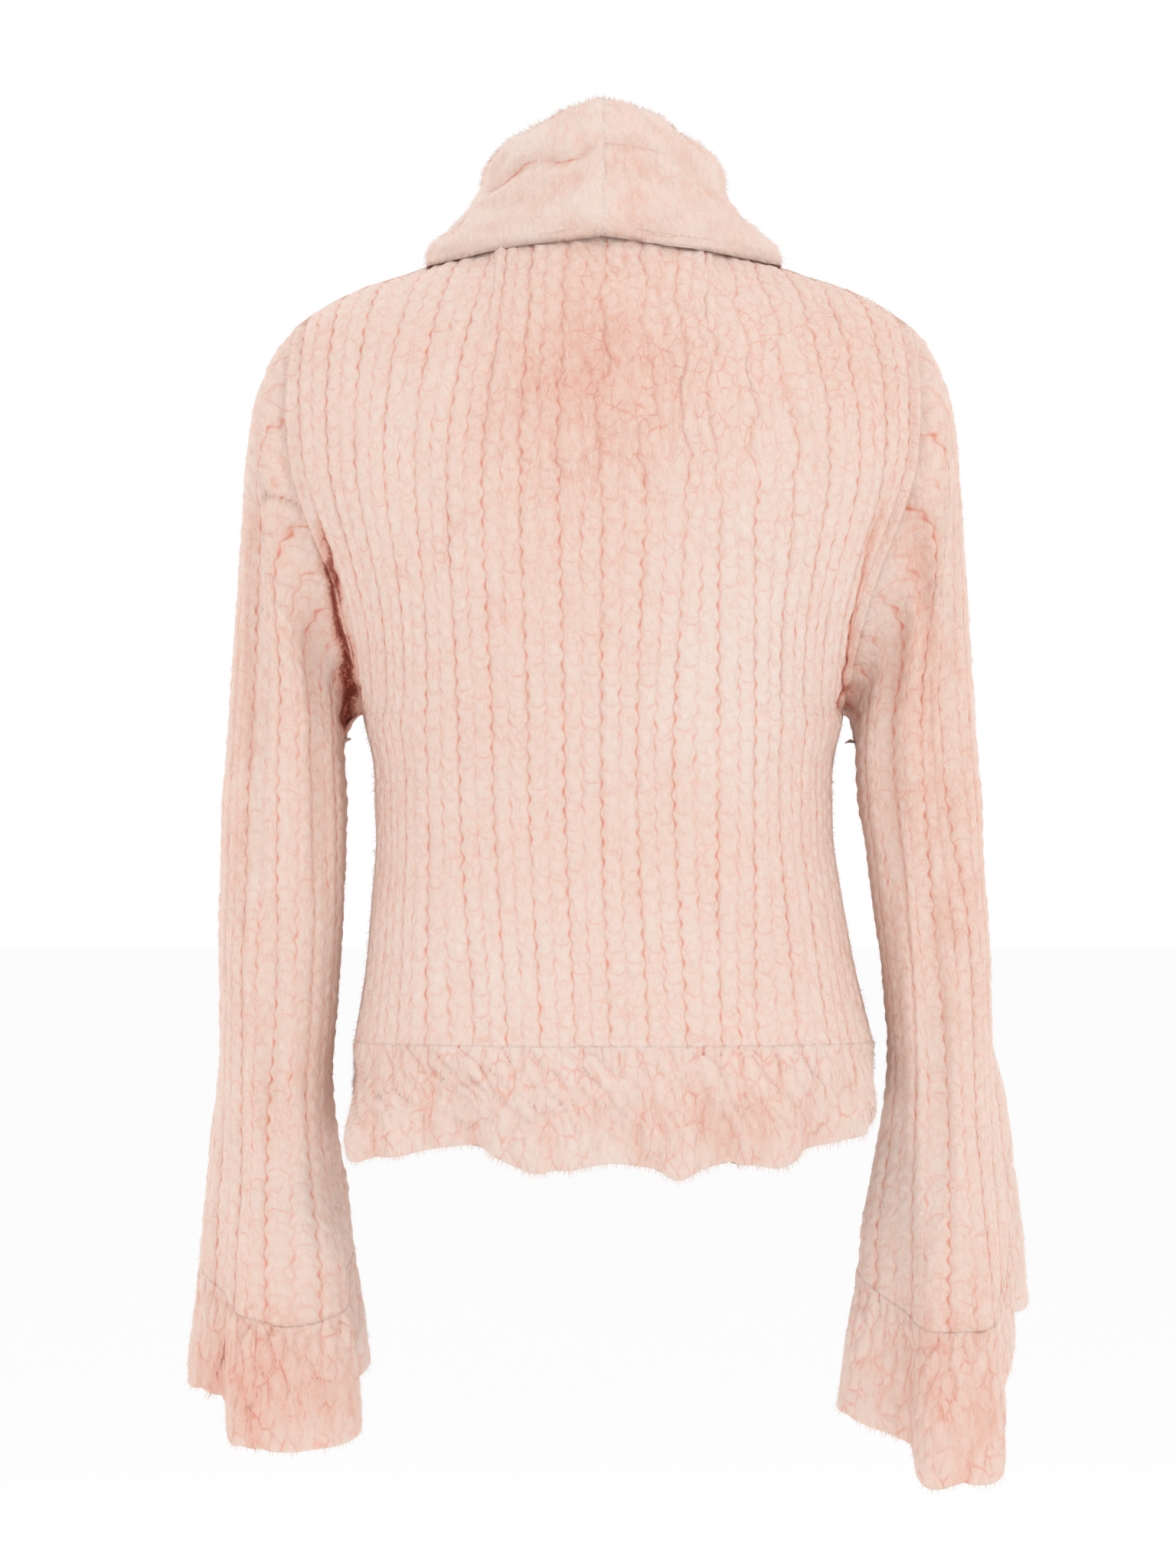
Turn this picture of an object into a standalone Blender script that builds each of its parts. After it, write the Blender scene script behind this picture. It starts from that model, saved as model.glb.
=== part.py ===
# Knitted fur jacket, worn and hollow: three knitted body panels, two bell sleeves,
# gathered plush bands round the hem and the cuffs, and a tall turned-down plush collar
# in two halves. Every piece is a wall with fur on both sides.
#
# Frame: the wearer's front faces -Y, the wearer's left is +X and +Z is up. The origin
# lies between the shoulders, level with them, where the wearer's shoulders carry it.
# All sizes below are in millimetres and become metres where a mesh is made.

import math

import bmesh
import bpy
import numpy as np
from mathutils import Vector
from mathutils.bvhtree import BVHTree

MM = 0.001
COLLECTION_NAME = "knitted_fur_jacket"

# Driving sizes
SEAM_GAP = 0.35
TUBE_GAP = 0.8
FRONT_OPENING = 2.4
KNIT_WALL = 9.0
PLUSH_WALL = 13.0
COLLAR_WALL = 10.0
RIB_DEPTH = 3.2
SECTION_POWER = 2.3
SLEEVE_POWER = 2.2
NECK_SIZE = {"half_width": 76.0, "back": 64.0, "front": 52.0}
NECK_HEIGHT = {"back": 52.0, "side": 51.0, "front": -30.0}
NECK_LEAN = math.radians(50.0)
SHOULDER_POINT = 208.0
NECK_SHARE = 0.375
ARMHOLE_BOW = 5.0
NECK_THINNING = 0.4
SLEEVE_STRAIGHT_TOP = -300.0

# Counts: ribs on half of a body panel, mesh columns on each rib, rows of the mesh
RIBS = 8
PER_RIB = 3
SIDE_ROWS = 8
ARMHOLE_ROWS = 12
CAP_ROWS = 7
TUBE_ROWS = 10

# Body sections, each round its own centre. From the underarm up, half_width is that of
# the whole chest, and the armhole cuts the side away at armhole_edge.
BODY_COLUMNS = ("height", "centre", "half_width", "back", "front", "armhole_edge")
BODY_ROWS = (
    (-495.0, -9.5, 177.5, 125.0, 140.0, 177.5),
    (-440.0, -7.0, 166.5, 116.0, 137.0, 166.5),
    (-400.0, -5.0, 161.5, 108.0, 135.0, 161.5),
    (-360.0, -3.5, 157.0, 103.0, 133.0, 157.0),
    (-320.0, -2.5, 157.0, 103.0, 133.0, 157.0),
    (-283.0, -2.5, 163.5, 107.0, 134.0, 163.5),
    (-255.0, -2.5, 173.0, 110.0, 134.0, 169.5),
    (-215.0, -2.5, 188.0, 113.0, 132.0, 176.5),
    (-180.0, -2.5, 206.0, 114.0, 129.0, 187.0),
    (-150.0, -2.5, 224.0, 114.0, 125.0, 198.5),
    (-120.0, -2.5, 240.0, 113.0, 119.0, 208.0),
)

# The shoulder seam, from the neck to the shoulder point
SHOULDER_COLUMNS = ("across", "height")
SHOULDER_ROWS = (
    (76.0, 51.0),
    (86.0, 44.0),
    (105.0, 35.0),
    (134.0, 24.0),
    (158.0, 16.5),
    (184.0, 5.0),
    (208.0, -11.0),
)

# Gathered hem, a row for each wave's crest and valley. place runs round the body: 0 is
# centre back, 1 the wearer's left side seam, 2 centre front, and minus is the right.
HEM_COLUMNS = ("place", "outward", "height")
HEM_ROWS = (
    (-2.00, 10.0, -565.0),
    (-1.86, 16.0, -569.0),
    (-1.68, 6.0, -561.0),
    (-1.46, 22.0, -565.0),
    (-1.28, 4.0, -553.0),
    (-1.12, -2.0, -548.0),
    (-0.95, -4.0, -543.0),
    (-0.78, 13.0, -556.0),
    (-0.62, 2.0, -564.0),
    (-0.42, 19.0, -578.0),
    (-0.29, 6.0, -576.0),
    (-0.17, 18.0, -585.0),
    (0.00, 6.0, -574.0),
    (0.18, 18.0, -582.0),
    (0.44, -2.0, -564.0),
    (0.70, 26.0, -576.0),
    (0.93, -2.0, -566.0),
    (1.10, 2.0, -568.0),
    (1.26, -2.0, -562.0),
    (1.48, 20.0, -570.0),
    (1.68, 6.0, -561.0),
    (1.86, 16.0, -569.0),
    (2.00, 10.0, -565.0),
)

# Straight part of each sleeve. outward is the distance of its centre from the body's
# middle, and forward how far the centre lies towards the front.
SLEEVE_COLUMNS = ("height", "outward", "forward", "half_width", "half_depth")
SLEEVE_ROWS = {
    "left": (
        (-300.0, 212.5, 4.0, 42.5, 54.0),
        (-340.0, 213.0, 5.0, 45.0, 54.0),
        (-400.0, 214.8, 7.0, 45.0, 53.0),
        (-440.0, 216.4, 9.0, 44.0, 52.0),
        (-480.0, 217.4, 10.0, 42.0, 52.0),
        (-540.0, 220.0, 12.0, 39.0, 51.0),
        (-700.0, 219.0, 12.0, 41.0, 50.0),
    ),
    "right": (
        (-300.0, 214.0, 4.0, 44.0, 54.0),
        (-340.0, 217.0, 5.0, 44.5, 54.0),
        (-370.0, 220.0, 6.0, 42.0, 53.0),
        (-400.0, 223.0, 8.0, 41.5, 53.0),
        (-440.0, 227.0, 9.0, 40.0, 52.0),
        (-480.0, 229.5, 10.0, 38.0, 51.0),
        (-540.0, 232.0, 12.0, 37.0, 50.0),
        (-700.0, 235.0, 12.0, 40.0, 50.0),
    ),
}

# Soft troughs down each sleeve. The angle round the sleeve is 0 on its outer side, 90
# at the back and 180 next to the body.
FOLD_COLUMNS = ("top", "bottom", "angle_top", "angle_bottom", "width", "depth")
FOLD_ROWS = {
    "left": (
        (-70.0, -420.0, 52.0, 66.0, 15.0, 8.0),
        (-390.0, -660.0, 78.0, 96.0, 13.0, 8.0),
        (-170.0, -400.0, 128.0, 132.0, 13.0, 6.0),
        (-90.0, -450.0, 300.0, 290.0, 15.0, 8.0),
        (-400.0, -600.0, 262.0, 256.0, 13.0, 7.0),
    ),
    "right": (
        (-100.0, -400.0, 40.0, 62.0, 14.0, 8.0),
        (-360.0, -640.0, 92.0, 102.0, 13.0, 9.0),
        (-160.0, -420.0, 122.0, 126.0, 13.0, 7.0),
        (-90.0, -430.0, 296.0, 286.0, 15.0, 8.0),
        (-390.0, -590.0, 258.0, 252.0, 13.0, 7.0),
    ),
}

# Bell and gathered cuff, a row for each flute's crest and valley by its angle: how far
# and how low the seam and the edge stand, outward from the sleeve's straight section.
CUFF_COLUMNS = ("angle", "seam_out", "seam_height", "edge_out", "edge_height")
CUFF_ROWS = {
    "left": (
        (6.0, 13.0, -646.0, 23.0, -729.0),
        (38.0, 5.0, -663.0, 6.0, -741.0),
        (72.0, 14.0, -678.0, 28.0, -768.0),
        (104.0, 14.0, -684.0, 26.0, -771.0),
        (146.0, 20.0, -674.0, 34.0, -761.0),
        (176.0, 8.0, -656.0, 10.0, -736.0),
        (204.0, 19.0, -634.0, 32.0, -719.0),
        (232.0, 6.0, -616.0, 7.0, -709.0),
        (262.0, 18.0, -600.0, 32.0, -700.0),
        (292.0, 6.0, -590.0, 7.0, -690.0),
        (324.0, 18.0, -584.0, 28.0, -686.0),
        (350.0, 9.0, -612.0, 12.0, -706.0),
    ),
    "right": (
        (4.0, 7.0, -636.0, 10.0, -706.0),
        (32.0, 5.0, -666.0, 6.0, -740.0),
        (64.0, 17.0, -686.0, 30.0, -790.0),
        (98.0, 18.0, -688.0, 32.0, -796.0),
        (132.0, 6.0, -676.0, 7.0, -768.0),
        (174.0, 24.0, -650.0, 40.0, -747.0),
        (214.0, 6.0, -622.0, 7.0, -722.0),
        (246.0, 18.0, -602.0, 32.0, -708.0),
        (280.0, 6.0, -580.0, 7.0, -694.0),
        (316.0, 26.0, -556.0, 42.0, -684.0),
        (344.0, 7.0, -600.0, 7.0, -692.0),
    ),
}

# Middle of the collar's wall from the neck seam up the stand, over the fold and down
# the fall to its edge, each row a ring round the neck with its height at five places.
COLLAR_COLUMNS = ("half_width", "back", "front", "h0", "h45", "h90", "h135", "h180", "power")
COLLAR_RINGS = (
    (69.0, 59.0, 50.0, 70.0, 70.0, 66.0, 27.0, -10.0, 2.0),
    (64.5, 57.0, 49.0, 96.0, 86.0, 71.5, 32.0, -1.0, 2.0),
    (64.0, 56.0, 48.5, 113.0, 95.0, 77.0, 38.0, 8.0, 2.0),
    (66.0, 56.5, 49.5, 125.0, 104.5, 84.5, 45.5, 18.0, 2.0),
    (73.5, 63.5, 57.5, 131.5, 111.0, 90.5, 52.0, 26.0, 2.0),
    (80.5, 70.5, 65.5, 124.5, 104.5, 83.5, 46.0, 19.5, 2.0),
    (80.0, 70.0, 66.0, 97.0, 87.0, 73.0, 38.0, 6.0, 2.0),
    (89.0, 75.5, 71.0, 76.0, 68.0, 60.0, 26.0, -16.0, 1.85),
    (104.0, 79.0, 82.0, 60.0, 51.0, 48.0, 20.0, -37.0, 1.7),
    (118.0, 82.0, 94.0, 49.0, 41.0, 38.5, 16.0, -52.0, 1.6),
    (125.0, 83.5, 99.0, 44.5, 36.5, 33.5, 12.0, -58.0, 1.6),
)
COLLAR_ANGLES = (-45.0, 0.0, 45.0, 90.0, 135.0, 180.0, 225.0)
FALL_FIRST_RING = 7
FALL_CLEARANCE = 4.5

KNIT_COLOUR = (0.87, 0.63, 0.55, 1.0)
PLUSH_COLOUR = (0.89, 0.67, 0.59, 1.0)


def curve_through(places, values, at):
    """A smooth curve through a table's values that doesn't swing past them."""
    places = np.asarray(places, float)
    values = np.asarray(values, float)
    at = np.clip(np.asarray(at, float), places[0], places[-1])
    steps = np.diff(places)
    slopes = np.diff(values) / steps
    tangents = np.zeros(len(places))
    before, after = slopes[:-1], slopes[1:]
    same_way = before * after > 0
    total = np.where(same_way, before + after, 1.0)
    tangents[1:-1] = np.where(same_way, 2.0 * before * after / total, 0.0)
    tangents[0], tangents[-1] = slopes[0], slopes[-1]
    k = np.clip(np.searchsorted(places, at, side="right") - 1, 0, len(steps) - 1)
    s = (at - places[k]) / steps[k]
    start = (1 + 2 * s) * (1 - s) ** 2 * values[k]
    end = s**2 * (3 - 2 * s) * values[k + 1]
    lean = steps[k] * (s * (1 - s) ** 2 * tangents[k] - s**2 * (1 - s) * tangents[k + 1])
    return start + end + lean


def read(columns, rows, name, at, key=0):
    """The named column of a table, read at a value of its key column."""
    order = sorted(rows, key=lambda row: row[key])
    places = [row[key] for row in order]
    values = [row[columns.index(name)] for row in order]
    return curve_through(places, values, at)


def read_round(columns, rows, name, angle):
    """As read, for a table that runs once round by its angle in degrees."""
    ahead = [(row[0] + 360.0, *row[1:]) for row in rows[:3]]
    behind = [(row[0] - 360.0, *row[1:]) for row in rows[-3:]]
    return read(columns, [*behind, *rows, *ahead], name, np.mod(angle, 360.0))


def soft_step(x):
    x = np.clip(x, 0.0, 1.0)
    return x * x * (3.0 - 2.0 * x)


def unit(vectors):
    return vectors / np.maximum(np.linalg.norm(vectors, axis=-1, keepdims=True), 1e-9)


def body_section(height, side, shares):
    """Points of one body section at shares 0 to 1 of its length, from the centre line
    to its side seam or armhole. side is 1 for the back and -1 for the front."""
    half = float(read(BODY_COLUMNS, BODY_ROWS, "half_width", height))
    depth = float(read(BODY_COLUMNS, BODY_ROWS, "back" if side > 0 else "front", height))
    edge = float(read(BODY_COLUMNS, BODY_ROWS, "armhole_edge", height))
    turn = np.linspace(0.0, 0.5 * math.pi, 400)
    across = half * np.sin(turn) ** (2.0 / SECTION_POWER)
    out = depth * np.cos(turn) ** (2.0 / SECTION_POWER)
    if edge < half - 1e-6:
        last = np.interp(edge, across, out)
        kept = across < edge
        across = np.append(across[kept], edge)
        out = np.append(out[kept], last)
    length = np.concatenate([[0.0], np.cumsum(np.hypot(np.diff(across), np.diff(out)))])
    at = np.asarray(shares) * length[-1]
    return np.interp(at, length, across), side * np.interp(at, length, out)


def top_edge(side, shares):
    """The panel's top: the neckline up to NECK_SHARE, then the shoulder seam. The
    neckline's points stand at even angles round the neck."""
    shares = np.asarray(shares, float)
    neck = NECK_SIZE["half_width"]
    within = np.clip(shares / NECK_SHARE, 0.0, 1.0)
    beyond = (shares - NECK_SHARE) / (1.0 - NECK_SHARE)
    along = np.sin(0.5 * math.pi * within)
    outside = neck + (SHOULDER_POINT - neck) * beyond
    across = np.where(shares < NECK_SHARE, neck * along, outside)
    place = "back" if side > 0 else "front"
    round_it = np.sqrt(np.clip(1.0 - (across / neck) ** 2, 0.0, 1.0))
    shoulder = read(SHOULDER_COLUMNS, SHOULDER_ROWS, "height", across)
    change = NECK_HEIGHT[place] - NECK_HEIGHT["side"]
    in_neck = NECK_HEIGHT["side"] + change * round_it**2
    height = np.where(across < neck, in_neck, shoulder)
    return across, side * NECK_SIZE[place] * round_it, height, round_it**2


def panel_point(side, sign, shares, rise):
    """A body panel's outer envelope along one row. rise is 0 at the hem seam, 1 at the
    underarm and 2 at the top edge; sign is 1 on the wearer's left."""
    blade = BODY_ROWS[-1][0]
    underarm = BODY_ROWS[5][0]
    hem = BODY_ROWS[0][0]
    if rise <= 1.0:
        height = hem + (underarm - hem) * rise
    else:
        height = underarm + (blade - underarm) * min(1.0, 2.0 * (rise - 1.0))
    across, out = body_section(height, side, shares)
    heights = np.full_like(across, height)
    if rise > 1.5:
        top_across, top_out, top_height, in_neck = top_edge(side, shares)
        lean = 0.5 * math.pi - (0.5 * math.pi - NECK_LEAN) * in_neck
        turned = lean * (2.0 * rise - 3.0)
        up = np.sin(turned) / np.sin(lean)
        over = (np.cos(turned) - np.cos(lean)) / (1.0 - np.cos(lean))
        bow = ARMHOLE_BOW * np.asarray(shares) ** 6 * 4.0 * up * (1.0 - up)
        across = top_across + (across - top_across) * (1.0 - up) + bow
        out = top_out + (out - top_out) * over
        heights = blade + (top_height - blade) * up
    centre = read(BODY_COLUMNS, BODY_ROWS, "centre", heights)
    return np.stack([centre + sign * across, out + 0.5 * side * SEAM_GAP, heights], -1)


def surface_normals(points, closed=False):
    """Unit normals of a grid of points, rows first, on the side that the grid's own
    turning gives: along the columns' direction crossed with the rows'."""
    if closed:
        along = np.roll(points, -1, axis=1) - np.roll(points, 1, axis=1)
    else:
        along = np.gradient(points, axis=1)
    return unit(np.cross(along, np.gradient(points, axis=0)))


def evened(vectors, times):
    """A grid of vectors, each drawn towards its neighbours a number of times."""
    for _ in range(times):
        wide = np.pad(vectors, ((1, 1), (1, 1), (0, 0)), mode="edge")
        beside = wide[1:-1, :-2] + wide[1:-1, 2:] + wide[:-2, 1:-1] + wide[2:, 1:-1]
        vectors = 0.5 * vectors + 0.125 * beside
    return vectors


def top_normals(edge, normals):
    """Normals along a panel's top edge. Both panels have the same ones on the shoulder
    seam, and those of the neckline turn to them towards its side."""
    from_centre = edge[:, 0] - BODY_ROWS[-1][1]
    across = np.abs(from_centre)
    neck = NECK_SIZE["half_width"]
    at = np.clip(across, neck + 4.0, SHOULDER_POINT - 4.0)
    before = read(SHOULDER_COLUMNS, SHOULDER_ROWS, "height", at - 4.0)
    past = read(SHOULDER_COLUMNS, SHOULDER_ROWS, "height", at + 4.0)
    level = np.zeros_like(across)
    square = np.stack([np.sign(from_centre) * (before - past), level, level + 8.0], -1)
    share = np.clip(across / neck, 0.0, 1.0)[:, None] ** 8
    return unit(normals * (1.0 - share) + unit(square) * share)


def rib_profile(count):
    """How deep each mesh column lies: 1 in a groove between ribs and 0 on a rib."""
    return (np.arange(count) % PER_RIB == 0).astype(float)


def row_fade(count):
    """Ribs run out in the first and last row, which are sewn to other pieces."""
    fade = np.ones(count)
    fade[0] = fade[-1] = 0.0
    return fade


def body_panel(side, signs):
    """Outer and inner grids of a body panel. signs lists the halves that it has."""
    half = np.linspace(0.0, 1.0, RIBS * PER_RIB + 1)
    rises = np.concatenate(
        [
            np.linspace(0.0, 1.0, SIDE_ROWS + 1)[:-1],
            1.0 + np.linspace(0.0, 1.0, ARMHOLE_ROWS + 1) ** 1.25,
        ]
    )
    if len(signs) == 1:
        half[0] = 0.3 * FRONT_OPENING / SHOULDER_POINT
    rows = []
    for rise in rises:
        parts = {sign: panel_point(side, sign, half, rise) for sign in signs}
        if len(signs) == 2:
            rows.append(np.concatenate([parts[-1][::-1], parts[1][1:]]))
        else:
            rows.append(parts[signs[0]])
    smooth = np.array(rows)
    normals = surface_normals(smooth)
    middle = normals[SIDE_ROWS // 2, len(half) // 2]
    if middle[1] * side < 0.0:
        normals = -normals
    pressed = np.exp(-(((half - NECK_SHARE) / 0.14) ** 2))
    if len(signs) == 2:
        pressed = np.concatenate([pressed[::-1], pressed[1:]])
    pressed = (pressed[None, :] * soft_step((rises - 1.6) / 0.25)[:, None])[:, :, None]
    normals = unit(evened(normals, 3))
    ends = (0, -1) if len(signs) == 2 else (-1,)
    for end in ends:
        normals[: SIDE_ROWS + 1, end, 1] = 0.0
    normals[-1] = top_normals(smooth[-1], normals[-1])
    if len(signs) == 1:
        normals[:, 0, 0] = 0.0
    normals[:, :, 0] *= 1.0 - 0.85 * pressed[:, :, 0]
    normals = unit(normals)
    depth = RIB_DEPTH * rib_profile(smooth.shape[1])[None, :, None] * (1.0 - pressed)
    outer = smooth - normals * depth * row_fade(len(smooth))[:, None, None]
    return outer, smooth - normals * KNIT_WALL * (1.0 - NECK_THINNING * pressed)


def sewn_on(outer, inner, lead, gap, closed=False):
    """A seam's two edges moved off the neighbour by a gap, square to the seam and on
    the side of lead, a direction at each point."""
    if closed:
        along = np.roll(outer, -1, axis=0) - np.roll(outer, 1, axis=0)
    else:
        along = np.gradient(outer, axis=0)
    away = unit(np.cross(along, outer - inner))
    away[np.sum(away * lead, axis=1) < 0.0] *= -1.0
    return outer + away * gap, inner + away * gap, away


def fold_depth(name, angle, height):
    """How far the sleeve's soft troughs go in at an angle and a height."""
    depth = np.zeros_like(angle)
    for row in FOLD_ROWS[name]:
        fold = dict(zip(FOLD_COLUMNS, row))
        run = (fold["top"] - height) / (fold["top"] - fold["bottom"])
        middle = fold["angle_top"] + run * (fold["angle_bottom"] - fold["angle_top"])
        off = (angle - middle + 180.0) % 360.0 - 180.0
        ends = np.sin(math.pi * np.clip(run, 0.0, 1.0)) ** 0.6
        depth += fold["depth"] * ends * np.exp(-((off / fold["width"]) ** 2))
    return depth


def sleeve_section(name, sign, height, count):
    """One ring of a sleeve's straight part with its columns evenly round it, and the
    outward direction and angle of each. height may differ from column to column."""
    turn = np.linspace(0.0, 2.0 * math.pi, 721)
    values = {
        key: np.asarray(read(SLEEVE_COLUMNS, SLEEVE_ROWS[name], key, height))
        for key in SLEEVE_COLUMNS[1:]
    }
    half_width = float(np.mean(values["half_width"]))
    half_depth = float(np.mean(values["half_depth"]))
    power = 2.0 / SLEEVE_POWER
    x = half_width * np.sign(np.cos(turn)) * np.abs(np.cos(turn)) ** power
    y = half_depth * np.sign(np.sin(turn)) * np.abs(np.sin(turn)) ** power
    length = np.concatenate([[0.0], np.cumsum(np.hypot(np.diff(x), np.diff(y)))])
    even = length[-1] * np.arange(count) / count
    angle = np.degrees(np.interp(even, length, turn))
    x, y = np.interp(even, length, x), np.interp(even, length, y)
    outward = unit(np.stack([x / half_width**2, y / half_depth**2, 0.0 * x], -1))
    points = np.stack(
        [values["outward"] + x, y - values["forward"], np.zeros(count) + height], -1
    )
    points -= outward * fold_depth(name, angle, height)[:, None]
    points[:, 0] *= sign
    outward[:, 0] *= sign
    return points, outward, angle


def armhole(back, front, column):
    """The loop round an armhole, from the shoulder point down the back edge, through
    the underarm and up the front edge, with the seam's gap and the way out."""
    loops = []
    for grid in (0, 1):
        b = back[grid][SIDE_ROWS:, column]
        f = front[grid][SIDE_ROWS:, -1]
        top, low = 0.5 * (b[-1] + f[-1]), 0.5 * (b[0] + f[0])
        loop = np.concatenate([[top], b[-2:0:-1], [low], f[1:-1]])
        mids = 0.5 * (loop + np.roll(loop, -1, axis=0))
        loops.append(np.stack([loop, mids], 1).reshape(-1, 3))
    next_to = []
    inward = 1 if column == 0 else -2
    b = back[0][SIDE_ROWS:, inward]
    f = front[0][SIDE_ROWS:, -2]
    below = 0.5 * (back[0][SIDE_ROWS - 1, column] + front[0][SIDE_ROWS - 1, -1])
    loop = np.concatenate([[0.5 * (b[-1] + f[-1])], b[-2:0:-1], [below], f[1:-1]])
    mids = 0.5 * (loop + np.roll(loop, -1, axis=0))
    next_to = np.stack([loop, mids], 1).reshape(-1, 3)
    outer, inner = loops
    start, start_inner, away = sewn_on(outer, inner, outer - next_to, TUBE_GAP, True)
    return start, start_inner, away, unit(outer - inner)


def sleeve(name, sign, back, front):
    """Outer and inner grids of a sleeve: the cap leaves the armhole and turns down,
    then the straight part runs to the bell and the cuff's seam."""
    column = -1 if sign > 0 else 0
    start, start_inner, away, body_normal = armhole(back, front, column)
    count = len(start)
    ring, outward, angle = sleeve_section(name, sign, SLEEVE_STRAIGHT_TOP, count)
    share = np.arange(count) / count
    sideways = np.abs(np.sin(2.0 * math.pi * share))[:, None]
    direction = unit(away + 0.8 * sideways * body_normal)
    reach = np.linalg.norm(ring - start, axis=1)[:, None]
    near_top = (0.5 + 0.5 * np.cos(2.0 * math.pi * share))[:, None]
    first = start + direction * (0.14 * near_top + 0.4 * (1 - near_top)) * reach
    lean_in = np.array([-0.07 * sign, 0.0, 1.0])
    last = ring + lean_in * reach * (0.42 + 0.2 * near_top)
    rows = []
    for step in np.linspace(0.0, 1.0, CAP_ROWS + 1):
        rest = 1.0 - step
        point = rest**3 * start + 3.0 * rest**2 * step * first
        point = point + 3.0 * rest * step**2 * last + step**3 * ring
        troughs = fold_depth(name, angle, point[:, 2]) * soft_step(2.5 * step) * rest
        rows.append(point - outward * troughs[:, None])
    seam_height = read_round(CUFF_COLUMNS, CUFF_ROWS[name], "seam_height", angle)
    seam_out = read_round(CUFF_COLUMNS, CUFF_ROWS[name], "seam_out", angle)
    for step in np.linspace(0.0, 1.0, TUBE_ROWS + 1)[1:]:
        height = SLEEVE_STRAIGHT_TOP + (seam_height - SLEEVE_STRAIGHT_TOP) * step
        points, outward, _ = sleeve_section(name, sign, height, count)
        bell = soft_step((step - 0.5) / 0.5) ** 1.3
        rows.append(points + outward * (seam_out * bell)[:, None])
    smooth = np.array(rows)
    normals = surface_normals(smooth, closed=True)
    if np.sum(normals[CAP_ROWS] * outward) < 0.0:
        normals = -normals
    depth = RIB_DEPTH * rib_profile(count)[None, :, None]
    outer = smooth - normals * depth * row_fade(len(smooth))[:, None, None]
    inner = smooth - normals * KNIT_WALL
    inner[0] = start_inner
    return outer, inner, angle


def cuff(name, sign, sleeve_outer, sleeve_inner, angle):
    """Outer and inner grids of a gathered cuff, from the bell's seam to its edge."""
    lead = sleeve_outer[-1] - sleeve_outer[-2]
    top, top_inner, _ = sewn_on(sleeve_outer[-1], sleeve_inner[-1], lead, TUBE_GAP, True)
    edge_height = read_round(CUFF_COLUMNS, CUFF_ROWS[name], "edge_height", angle)
    edge_out = read_round(CUFF_COLUMNS, CUFF_ROWS[name], "edge_out", angle)
    points, outward, _ = sleeve_section(name, sign, edge_height, len(angle))
    edge = points + outward * edge_out[:, None]
    rows = [top]
    for step in (0.18, 0.5, 0.84, 1.0):
        swell = 3.0 * math.sin(math.pi * step) ** 0.8
        rows.append(top + (edge - top) * step + outward * swell)
    smooth = np.array(rows)
    normals = surface_normals(smooth, closed=True)
    if np.sum(normals[2] * outward) < 0.0:
        normals = -normals
    inner = smooth - normals * KNIT_WALL
    inner[0] = top_inner
    return rounded_edge(smooth, inner)


def rounded_edge(outer, inner):
    """Draws the last row of a plush edge together, so that it ends round."""
    middle = 0.5 * (outer[-1] + inner[-1])
    outer[-1] = middle + 0.5 * (outer[-1] - middle)
    inner[-1] = middle + 0.5 * (inner[-1] - middle)
    return outer, inner


def hem_band(side, sign, body_outer, body_inner):
    """Outer and inner grids of a gathered hem band below a body panel."""
    down = np.array([0.0, 0.0, -SEAM_GAP])
    top = body_outer[0] + down
    top_inner = body_inner[0] + down
    half = np.linspace(0.0, 1.0, RIBS * PER_RIB + 1)
    if side > 0:
        place = np.concatenate([-half[::-1], half[1:]])
    else:
        place = sign * (2.0 - half)
    out = read(HEM_COLUMNS, HEM_ROWS, "outward", place)
    low = read(HEM_COLUMNS, HEM_ROWS, "height", place)
    away = top - top_inner
    away[:, 2] = 0.0
    away = unit(away)
    along = np.gradient(top, axis=0)
    square = unit(np.cross(along, np.array([0.0, 0.0, 1.0])))
    square *= np.sign(np.sum(square * away, axis=1))[:, None]
    square[np.abs(top[:, 1]) < 1.0, 1] = 0.0
    if side < 0:
        square[0, 0] = 0.0
    square = unit(square)
    rows, inner_rows = [top], [top_inner]
    for step in (0.14, 0.4, 0.7, 0.9, 1.0):
        flare = (out * soft_step(1.15 * step) + 3.0 * math.sin(math.pi * step))[:, None]
        drop = ((low - top[:, 2]) * step)[:, None] * np.array([0.0, 0.0, 1.0])
        row = top + drop + square * flare
        rows.append(row)
        wall = KNIT_WALL + (PLUSH_WALL - KNIT_WALL) * math.sin(0.5 * math.pi * step)
        across = np.gradient(row, axis=0)
        across[:, 2] = 0.0
        turned = unit(np.cross(across, np.array([0.0, 0.0, 1.0])))
        turned *= np.sign(np.sum(turned * away, axis=1))[:, None]
        turned[np.abs(top[:, 1]) < 1.0, 1] = 0.0
        if side < 0:
            turned[0, 0] = 0.0
        inner_rows.append(row - unit(turned) * wall)
    return rounded_edge(np.array(rows), np.array(inner_rows))


def surface_tree(grids):
    """The outer surfaces of body panels, for finding what lies on them."""
    corners, faces = [], []
    for outer, _ in grids:
        rows, columns = outer.shape[:2]
        first = len(corners)
        corners.extend(Vector(point) for point in outer.reshape(-1, 3))
        for r in range(rows - 1):
            for c in range(columns - 1):
                k = first + r * columns + c
                faces.append((k, k + 1, k + columns + 1, k + columns))
    return BVHTree.FromPolygons(corners, faces)


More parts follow.
